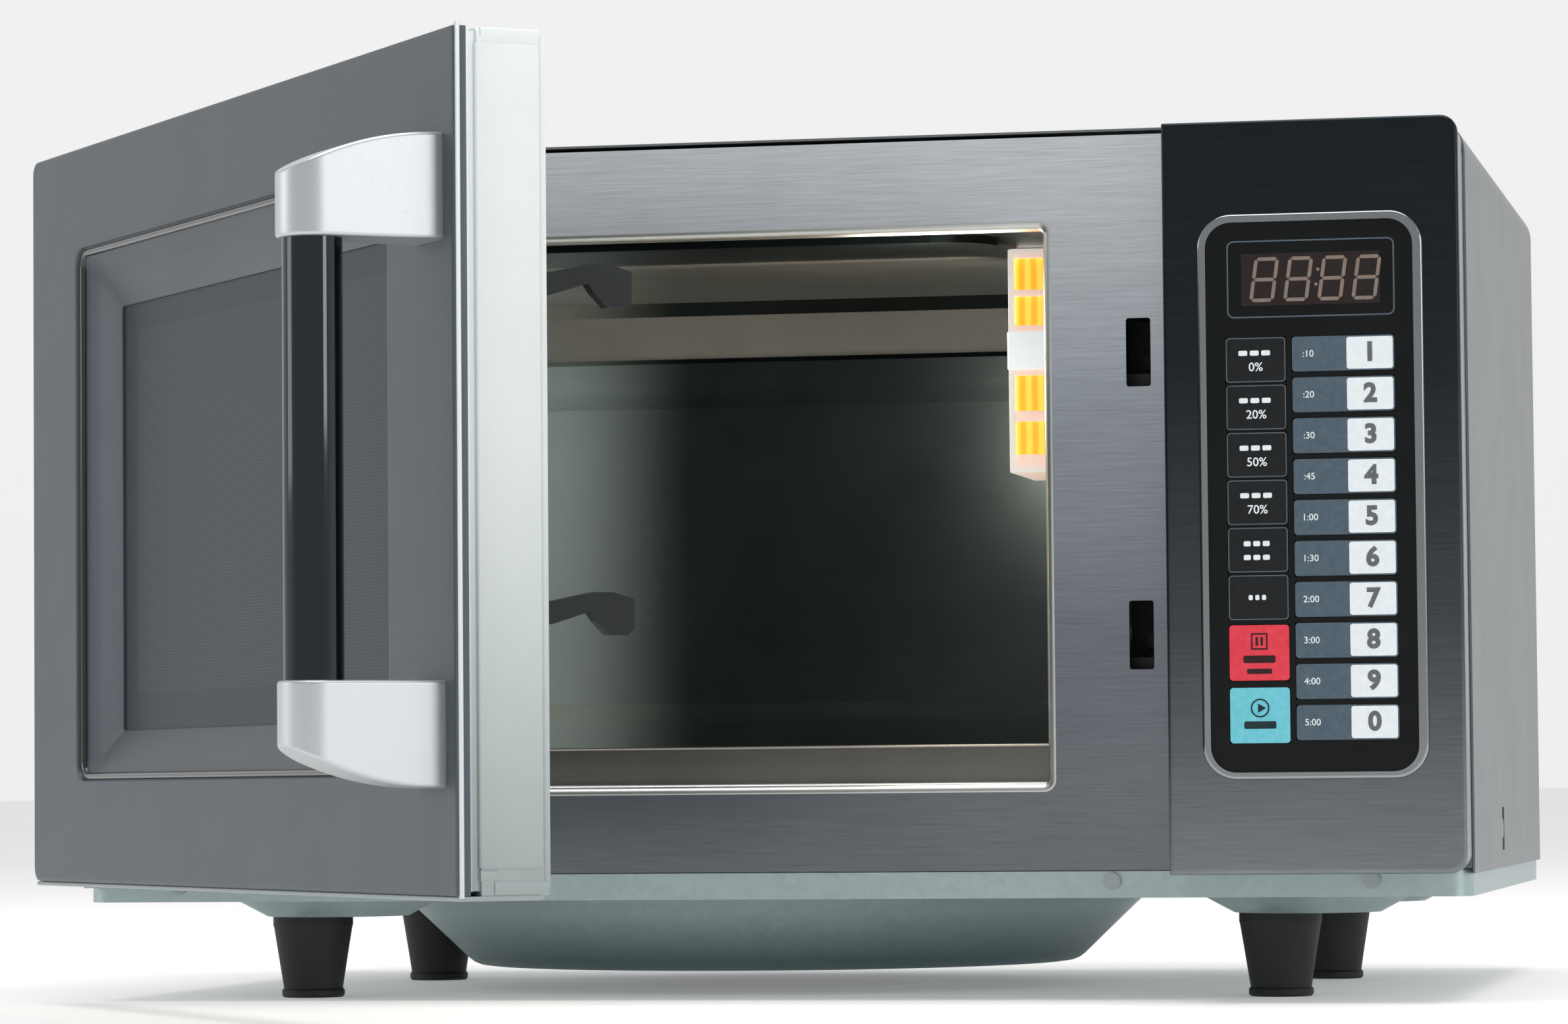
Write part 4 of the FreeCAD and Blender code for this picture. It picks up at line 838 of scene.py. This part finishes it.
def pressing(left, low, right, high, deep, radius, soft):
    """A shallow raised panel in the XZ plane: its rim at y = 0, its top at y = -deep."""
    bm = bmesh.new()
    loops = []
    for step in range(9):
        t = step / 8
        rise = deep * (0.5 - 0.5 * math.cos(math.pi * t))
        loops.append((left + soft * t, low + soft * t, right - soft * t, high - soft * t, -rise,
                      [radius - soft * t * 0.6] * 4))
    chain(bm, loops)
    top = [e for e in bm.edges if e.is_boundary and e.verts[0].co.y < -deep * 0.99]
    bmesh.ops.contextual_create(bm, geom=top)
    return bm


bm = pressing(-196 * MM, FRONT + 112 * MM, 80 * MM, FRONT + 284 * MM, 4.2 * MM, 24 * MM, 13 * MM)
laid = Matrix(((1, 0, 0, 0), (0, 0, 1, 0), (0, 1, 0, CEILING - 0.1 * MM), (0, 0, 0, 1)))
bmesh.ops.transform(bm, matrix=laid, verts=bm.verts)
# The ceiling's pressing is painted bright, as painted light on its steps.
piece("ceiling_pressing", bm, CAVITY_PAINTED_BRIGHT, slot="brushed_stainless", angle=60)
bm = pressing(-196 * MM, 104 * MM, 72 * MM, 244 * MM, 1.4 * MM, 30 * MM, 20 * MM)
bmesh.ops.translate(bm, verts=bm.verts, vec=(0, REAR - 0.1 * MM, 0))
piece("rear_pressing", bm, CAVITY, slot="brushed_stainless", angle=60)
print("pressings made")

# %% [markdown]
# The ceiling doesn't meet the rear wall at a corner: it slopes down to it, so that the waves are spread and a
# cloth can reach. The slope looks at the lit shelf, and its stainless is painted bright, as painted light, so
# it's the brightest thing in the cavity. Two low ribs cross the ceiling in front of it, painted bright as
# well.

# %% Rear slope
SLOPE_LEFT, SLOPE_RIGHT = MOUTH[0] + 3 * MM, MOUTH[2] - 3 * MM
profile = [(5.4, 23.4), (6.2, 22.7), (7, 21.7), (23.6, 2.2), (25.2, 0.9), (27, 0.2)]
bm = bmesh.new()
verts = [bm.verts.new((SLOPE_LEFT, REAR - SHEET - back * MM, CEILING - SHEET - down * MM))
         for back, down in profile]
edges = [bm.edges.new(pair) for pair in zip(verts, verts[1:])]
made = bmesh.ops.extrude_edge_only(bm, edges=edges)["geom"]
fresh = [g for g in made if isinstance(g, bmesh.types.BMVert)]
bmesh.ops.translate(bm, verts=fresh, vec=(SLOPE_RIGHT - SLOPE_LEFT, 0, 0))
bmesh.ops.solidify(bm, geom=bm.faces[:], thickness=-0.5 * MM)
piece("rear_slope", bm, SLOPE_STEEL, slot="brushed_stainless", angle=60)
for name, back in (("ceiling_rib_front", -12 * MM), ("ceiling_rib_rear", 38 * MM)):
    bar(name, (MOUTH[0] + 12 * MM, back, CEILING - 1.9 * MM), (MOUTH[2] - 11 * MM, back + 5 * MM,
        CEILING + 0.1 * MM), 1.6 * MM, 0, SLOPE_STEEL, segments=5, slot="brushed_stainless")
print("slope and ribs made")

# %% [markdown]
# The shelf lies behind a low folded step. Only the step's front is seen, painted a mid grey for the light it
# gets, with a bright line along its rounded top. At its foot a small lip, painted bright as a painted
# highlight, closes the gap to the mouth.

# %% Shelf step
STEP_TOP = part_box("shelf")[1].z + 0.2 * MM
bar("shelf_step", (MOUTH[0] + 1.5 * MM, FRONT + 9.5 * MM, SILL - 0.9 * MM),
    (MOUTH[2] - 1.5 * MM, FRONT + 13.9 * MM, STEP_TOP), 1.6 * MM, 0, STEP_STEEL, slot="brushed_stainless")
bar("shelf_step_lip", (MOUTH[0] + 2 * MM, FRONT + 6.6 * MM, SILL - 0.8 * MM),
    (MOUTH[2] - 1.8 * MM, FRONT + 9.7 * MM, SILL + 3.3 * MM), 1.4 * MM, 0, LIP_STEEL, segments=5,
    slot="brushed_stainless")
print("shelf step made")

# %% [markdown]
# ## The lamp's cover
# The lamp burns behind a white cover on the right-hand wall. Its light is seen only through four windows in
# the cover's front and four in its side. Each face is a thin pierced plate; the side's is the same plate as
# the front's, turned a quarter. A clear band runs between the windows. Behind them stands a slab of glowing
# material, ribbed like the reflector, with a dark plate between it and the case.

# %% Lamp cover
lamp_low, lamp_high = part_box("lamp_cover")
WINDOWS = ((197.5, 209.6), (213.5, 226.5), (244.8, 255.5), (257.9, 269.5))
WALL, EASE = 1.6 * MM, 0.4 * MM


def lamp_face(left, right):
    """A plate with four windows in the XZ plane, its face at y = 0."""
    outer = (left, lamp_low.z, right, lamp_high.z, [1.2 * MM] * 4)
    holes = [(left + 2.2 * MM, a * MM, right - WALL, b * MM, [0.8 * MM] * 4) for a, b in WINDOWS]
    return pierced(outer, holes, 0, WALL, 0.25 * MM, segments=3)


bm = bmesh.new()
merge(bm, lamp_face(lamp_low.x, lamp_high.x), Matrix.Translation((0, lamp_low.y, 0)))
turn = Matrix.Translation((lamp_low.x, 0, 0)) @ Matrix.Rotation(-math.pi / 2, 4, "Z")
merge(bm, lamp_face(-lamp_high.y, -lamp_low.y - 0.3 * MM), turn)
for z in (lamp_low.z, lamp_high.z - WALL):
    rounded_box(bm, (lamp_low.x + EASE, lamp_low.y + EASE, z), (lamp_high.x, lamp_high.y, z + WALL),
                1.5 * MM, 2, 0.3 * MM)
rounded_box(bm, (lamp_low.x + EASE, lamp_high.y - WALL, lamp_low.z + 1 * MM),
            (lamp_high.x, lamp_high.y, lamp_high.z - 1 * MM), 0.5 * MM, 2, 0.2 * MM)
piece("lamp_cover_moulded", bm, LAMP_WHITE, replaces="lamp_cover", slot="white_plastic")
print("lamp cover made")

# %% [markdown]
# Three rounded bars finish the lamp: the clear band, the glowing slab and the dark plate behind it.

# %% Lamp band, slab and back plate
band_low, band_high = (WINDOWS[1][1] + 2.2) * MM, (WINDOWS[2][0] - 2.2) * MM
bar("lamp_cover_band", (lamp_low.x - 0.5 * MM, lamp_low.y - 0.5 * MM, band_low),
    (lamp_high.x - 2 * MM, lamp_high.y - 6 * MM, band_high), 1 * MM, 2, LAMP_BAND, 0.4 * MM,
    slot="white_plastic")
bar("lamp_diffuser", (lamp_low.x + 2 * MM, lamp_low.y + 2 * MM, lamp_low.z + 3 * MM),
    (lamp_high.x - 3 * MM, lamp_high.y - 3 * MM, lamp_high.z - 3 * MM), 0.8 * MM, 2, LAMP_GLOW, 0.2 * MM,
    slot="lamp_glass")
bar("lamp_back_plate", (lamp_high.x - 2.6 * MM, lamp_low.y + 1.8 * MM, lamp_low.z + 1.8 * MM),
    (lamp_high.x - 0.6 * MM, lamp_high.y - 1.8 * MM, lamp_high.z - 1.8 * MM), 0.8 * MM, 0, DARK_PAINT,
    0.2 * MM)
print("lamp lit")

# %% [markdown]
# ## Printing on the keys
# The legends are printed, so they are a film only hundredths of a millimetre thick. Each is real geometry
# all the same: figures are typed as text and turned to mesh at once, and frames and tiles are thin pierced
# plates. Words are left out; short bars stand in for them.

# %% Printing helpers
PAD_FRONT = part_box("key_stop")[0].y
FILM, LIFT = 0.01 * MM, 0.05 * MM


def typed(words, height, bold):
    """Figures as a thin upright mesh, centred on the origin and facing the front."""
    curve = bpy.data.curves.new("typed", "FONT")
    curve.body, curve.align_x, curve.align_y = words, "CENTER", "CENTER"
    curve.size, curve.offset, curve.extrude, curve.resolution_u = height / 0.7, bold, 0.03 * MM, 4
    holder = bpy.data.objects.new("typed", curve)
    bpy.context.scene.collection.objects.link(holder)
    mesh = bpy.data.meshes.new_from_object(holder.evaluated_get(bpy.context.evaluated_depsgraph_get()))
    part = bmesh.new()
    part.from_mesh(mesh)
    bpy.data.objects.remove(holder)
    bpy.data.curves.remove(curve)
    bpy.data.meshes.remove(mesh)
    bmesh.ops.transform(part, matrix=Matrix.Rotation(math.pi / 2, 4, "X"), verts=part.verts)
    return part


def printed(bm, part, index, place=(0, 0, 0)):
    """Add a printed part in one of the object's inks."""
    for face in part.faces:
        face.material_index = index
    merge(bm, part, Matrix.Translation(place))


def tile(left, low, right, high, radius, lift=LIFT):
    """A thin printed patch standing a little in front of the key's face."""
    return pierced((left, low, right, high, [radius] * 4), [], PAD_FRONT - lift, lift - FILM)


def outline(left, low, right, high, radius, line):
    """A thin printed frame."""
    outer = (left, low, right, high, [radius] * 4)
    inner = (left + line, low + line, right - line, high - line, [max(radius - line, 0.1 * MM)] * 4)
    return pierced(outer, [inner], PAD_FRONT - LIFT, LIFT - FILM)


print("printing helpers ready")


# %% [markdown]
# Each number key has a slate field with a small time on the left, and a white tile with its figure. The six
# keys on the left choose the power; they show a bar where the word would be, and the power in percent.

# %% Key legends
times = {1: ":10", 2: ":20", 3: ":30", 4: ":45", 5: "1:00", 6: "1:30", 7: "2:00", 8: "3:00", 9: "4:00",
         0: "5:00"}
for number, time in times.items():
    low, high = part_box(f"key_number_{number}")
    bm = bmesh.new()
    edge = 0.5 * MM
    patch = tile(high.x - 16.6 * MM, low.z + edge, high.x - edge, high.z - edge, 0.9 * MM, 0.06 * MM)
    printed(bm, patch, 0)
    middle = (low.z + high.z) / 2
    printed(bm, typed(str(number), 6.3 * MM, 0.4 * MM), 1, (high.x - 8.5 * MM, PAD_FRONT - 0.1 * MM, middle))
    printed(bm, typed(time, 2.3 * MM, 0.02 * MM), 0, (low.x + 5.6 * MM, PAD_FRONT - LIFT, middle))
    piece(f"legend_number_{number}", bm, [INK_WHITE, INK_GREY], f"key_number_{number}_cap")

powers = {1: "0%", 2: "20%", 3: "50%", 4: "70%", 5: "", 6: ""}
for number, power in powers.items():
    low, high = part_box(f"key_program_{number}")
    bm = bmesh.new()
    printed(bm, outline(low.x, low.z, high.x, high.z, 1.2 * MM, 0.4 * MM), 1)
    across, middle = (low.x + high.x) / 2, (low.z + high.z) / 2
    if power:
        printed(bm, typed(power, 3.0 * MM, 0.04 * MM), 0, (across, PAD_FRONT - LIFT, middle - 2.6 * MM))
    bars = {5: ((-5, 2.2, 10), (-5, -2.6, 10)), 6: ((-3.5, 0, 7),)}.get(number, ((-6, 2.4, 12),))
    for start, rise, long in bars:
        at, height = across + start * MM, middle + rise * MM
        for dash in range(3):
            left = at + dash * long * MM / 3
            right = left + (long / 3 - 0.9) * MM
            printed(bm, tile(left, height - 0.9 * MM, right, height + 0.9 * MM, 0.5 * MM), 0)
    piece(f"legend_program_{number}", bm, [INK_WHITE, INK_SLATE], f"key_program_{number}_cap")
print("legends on", len(times) + len(powers), "keys")

# %% [markdown]
# The stop key carries a pause sign in a square, and the start key a triangle in a ring.

# %% Stop and start
low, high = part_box("key_stop")
across = (low.x + high.x) / 2
bm = bmesh.new()
sign = low.z + 13.6 * MM
half = 2.9 * MM
printed(bm, outline(across - half, sign - half, across + half, sign + half, 0.3 * MM, 0.55 * MM), 0)
for start in (-1.3 * MM, 0.4 * MM):
    left = across + start
    printed(bm, tile(left, sign - 1.5 * MM, left + 0.9 * MM, sign + 1.5 * MM, 0.1 * MM), 0)
for half, rise, tall in ((5.6 * MM, 7.4 * MM, 2.6 * MM), (4.4 * MM, 3.2 * MM, 1.8 * MM)):
    middle = low.z + rise
    printed(bm, tile(across - half, middle - tall / 2, across + half, middle + tall / 2, 0.6 * MM), 0)
piece("legend_stop", bm, INK_DARK, "key_stop_cap")

low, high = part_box("key_start")
bm = bmesh.new()
sign = low.z + 12.2 * MM
inner, outer, thick = 2.75 * MM, 3.3 * MM, 0.04 * MM
ring = turned([(inner, 0), (outer, 0), (outer, thick), (inner, thick), (inner, 0)], 40)
bmesh.ops.transform(ring, matrix=Matrix.Rotation(-math.pi / 2, 4, "X"), verts=ring.verts)
printed(bm, ring, 0, (across, PAD_FRONT - LIFT, sign))
triangle = bmesh.new()
facing_right = Matrix.Rotation(math.pi / 2, 4, "X") @ Matrix.Rotation(-math.pi / 2, 4, "Z")
bmesh.ops.create_circle(triangle, cap_ends=True, segments=3, radius=1.9 * MM, matrix=facing_right)
printed(bm, triangle, 0, (across + 0.2 * MM, PAD_FRONT - LIFT, sign))
half = 5.6 * MM
printed(bm, tile(across - half, low.z + 5 * MM, across + half, low.z + 7.6 * MM, 0.6 * MM), 0)
piece("legend_start", bm, INK_NAVY, "key_start_cap")
print("stop and start signs made")

# %% [markdown]
# ## The display at rest
# A four-digit display is a row of slanted bars behind smoked film. Switched off, the bars are just lighter
# than the window. Every digit has the same seven bars, so one function makes them, and a shear slants them.

# %% Display digits
BAR_DEEP = 0.04 * MM


def seven_bars(wide, tall, thick):
    """The seven bars of one digit, each with pointed ends."""
    part = bmesh.new()
    gap = 0.25 * MM
    half = tall / 2
    bars = [((gap, z - thick / 2), (wide - gap, z + thick / 2)) for z in (0, half, tall)]
    bars += [((x - thick / 2, z + gap), (x + thick / 2, z + half - gap))
             for x in (0, wide) for z in (0, half)]
    for (left, low), (right, high) in bars:
        bar_mesh = bmesh.new()
        add_box(bar_mesh, (left, 0, low), (right, BAR_DEEP, high))
        soften(bar_mesh, along(bar_mesh, 1), thick * 0.45, 1)
        merge(part, bar_mesh)
    return part


screen_low, screen_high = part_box("display")
bm = bmesh.new()
printed(bm, outline(screen_low.x, screen_low.z, screen_high.x, screen_high.z, 2.4 * MM, 0.5 * MM), 1)
slab = (screen_low.x + 5 * MM, screen_low.z + 4.2 * MM, screen_high.x - 5 * MM, screen_high.z - 4.6 * MM)
printed(bm, tile(*slab, 0.5 * MM, 0.02 * MM), 2)
TALL, WIDE, PITCH, SLANT, FIRST = 14.4 * MM, 7.4 * MM, 11.9 * MM, 0.14, screen_low.x + 8.4 * MM
base, bars_at = (slab[1] + slab[3] - TALL) / 2, PAD_FRONT - 0.06 * MM
slant = Matrix.Identity(4)
slant[0][2] = SLANT
for digit in range(4):
    part = seven_bars(WIDE, TALL, 1.25 * MM)
    bmesh.ops.transform(part, matrix=slant, verts=part.verts)
    printed(bm, part, 0, (FIRST + digit * PITCH, bars_at, base))
for rise in (4.6 * MM, 9.8 * MM):
    dot = bmesh.new()
    rounded_box(dot, (0, 0, 0), (1.1 * MM, BAR_DEEP, 1.1 * MM), 0.4 * MM, 1)
    printed(bm, dot, 0, (FIRST + 2 * PITCH - 2.2 * MM + SLANT * rise, bars_at, base + rise))
piece("display_digits", bm, [DIGIT, INK_SLATE, SCREEN])
print("display made")

# %% [markdown]
# ## Floor, light and camera
# The floor is a pale, faintly mottled sweep. It glows very slightly, as a lit paper sweep does, so that it
# stays pale far away.

# %% Floor

def pale_floor():
    """A pale paper sweep with a faint mottle."""
    material, tree, surface, place = finish("pale floor", "#f0efed", 0.75)
    mottle = noise(tree, place, 3, (1, 1, 1), 4)
    tree.links.new(ramp(tree, mottle, (0.3, "#eeedeb"), (0.7, "#f4f3f1")), surface.inputs["Base Color"])
    raise_grain(tree, surface, noise(tree, place, 500), 0.1, 0.0002)
    surface.inputs["Emission Color"].default_value = linear("#ffffff")
    surface.inputs["Emission Strength"].default_value = 0.2
    return material


bm = bmesh.new()
bmesh.ops.create_grid(bm, x_segments=1, y_segments=1, size=40)
mesh = bpy.data.meshes.new("floor")
bm.to_mesh(mesh)
bm.free()
floor = bpy.data.objects.new("floor", mesh)
bpy.context.scene.collection.objects.link(floor)
mesh.materials.append(pale_floor())
print("floor laid")

# %% [markdown]
# Metal shows what surrounds it, so the world matters as much as the lamps. It is pale near the horizon,
# darker overhead, and darker again in front of the oven, as a studio is. The colours are shown as they are,
# with no film curve over them.

# %% World
world = bpy.data.worlds.new("studio")
bpy.context.scene.world = world
bpy.context.scene.view_settings.view_transform = "Standard"
world.use_nodes = True
tree = world.node_tree
sky = add(tree, "ShaderNodeTexCoord").outputs["Generated"]
rise = between(tree, split(tree, sky)["Z"], -0.3, 1.0)
pale = ramp(tree, rise, (0.0, 0.75), (0.23, 0.86), (0.45, 0.9), (1.0, 0.55))
facing = add(tree, "ShaderNodeVectorMath", {0: sky, 1: (0.1, -0.995, 0.05)}, operation="DOT_PRODUCT")
studio = ramp(tree, facing.outputs["Value"], (0.1, 1.0), (0.5, 0.62), (0.95, 0.6))
tree.links.new(mixed(tree, 1.0, pale, studio, "MULTIPLY"), tree.nodes["Background"].inputs["Color"])
tree.nodes["Background"].inputs["Strength"].default_value = 1.0
print("world lit")

# %% [markdown]
# Three square panels give soft shadows: a broad one overhead, and two smaller ones at the left and the right.
# A small warm lamp in the cavity stands for the bulb, whose cover only glows.

# %% Lights


def soft_light(name, at, towards, size, watts):
    """A square white light panel aimed at a point."""
    light = bpy.data.lights.new(name, "AREA")
    light.shape, light.size, light.energy = "SQUARE", size, watts
    lamp = bpy.data.objects.new(name, light)
    bpy.context.scene.collection.objects.link(lamp)
    aim = (Vector(towards) - Vector(at)).to_track_quat("-Z", "Y")
    lamp.matrix_world = Matrix.Translation(at) @ aim.to_matrix().to_4x4()


soft_light("overhead", (0.1, -0.3, 2.1), (0, 0, 0.1), 1.7, 34)
soft_light("left", (-2.6, -0.9, 0.8), (0, 0, 0.15), 1.0, 8)
soft_light("right", (2.3, -1.7, 0.8), (0, 0, 0.15), 0.9, 12)

oven_lamp = bpy.data.lights.new("oven_lamp", "POINT")
oven_lamp.energy, oven_lamp.shadow_soft_size = 0.6, 0.03
oven_lamp.color = linear("#fff0dc")[:3]
glow = bpy.data.objects.new("oven_lamp", oven_lamp)
bpy.context.scene.collection.objects.link(glow)
glow.location = (lamp_low.x - 0.035, lamp_low.y + 0.03, 0.235)
print("lights placed")

# %% [markdown]
# The camera stands a little right of the oven, two metres in front, at the height of its base. It is built
# from the three angles that a tripod head has, and a long lens keeps the oven's sides nearly parallel.

# %% Camera
YAW, PITCH, ROLL = math.radians(11.545), math.radians(2.795), math.radians(-0.508)
ahead = Vector((-math.sin(YAW) * math.cos(PITCH), math.cos(YAW) * math.cos(PITCH), math.sin(PITCH)))
right = Vector((math.cos(YAW), math.sin(YAW), 0))
up = right.cross(ahead)
side = right * math.cos(ROLL) + up * math.sin(ROLL)
top = up * math.cos(ROLL) - right * math.sin(ROLL)
lens = bpy.data.cameras.new("camera")
lens.lens, lens.sensor_width, lens.clip_start = 128.2, 36, 0.05
camera = bpy.data.objects.new("camera", lens)
bpy.context.scene.collection.objects.link(camera)
facing_subject = Matrix((side, top, -ahead)).transposed().to_4x4()
camera.matrix_world = Matrix.Translation((0.4118, -2.1072, 0.0778)) @ facing_subject
bpy.context.scene.camera = camera
print("camera placed")
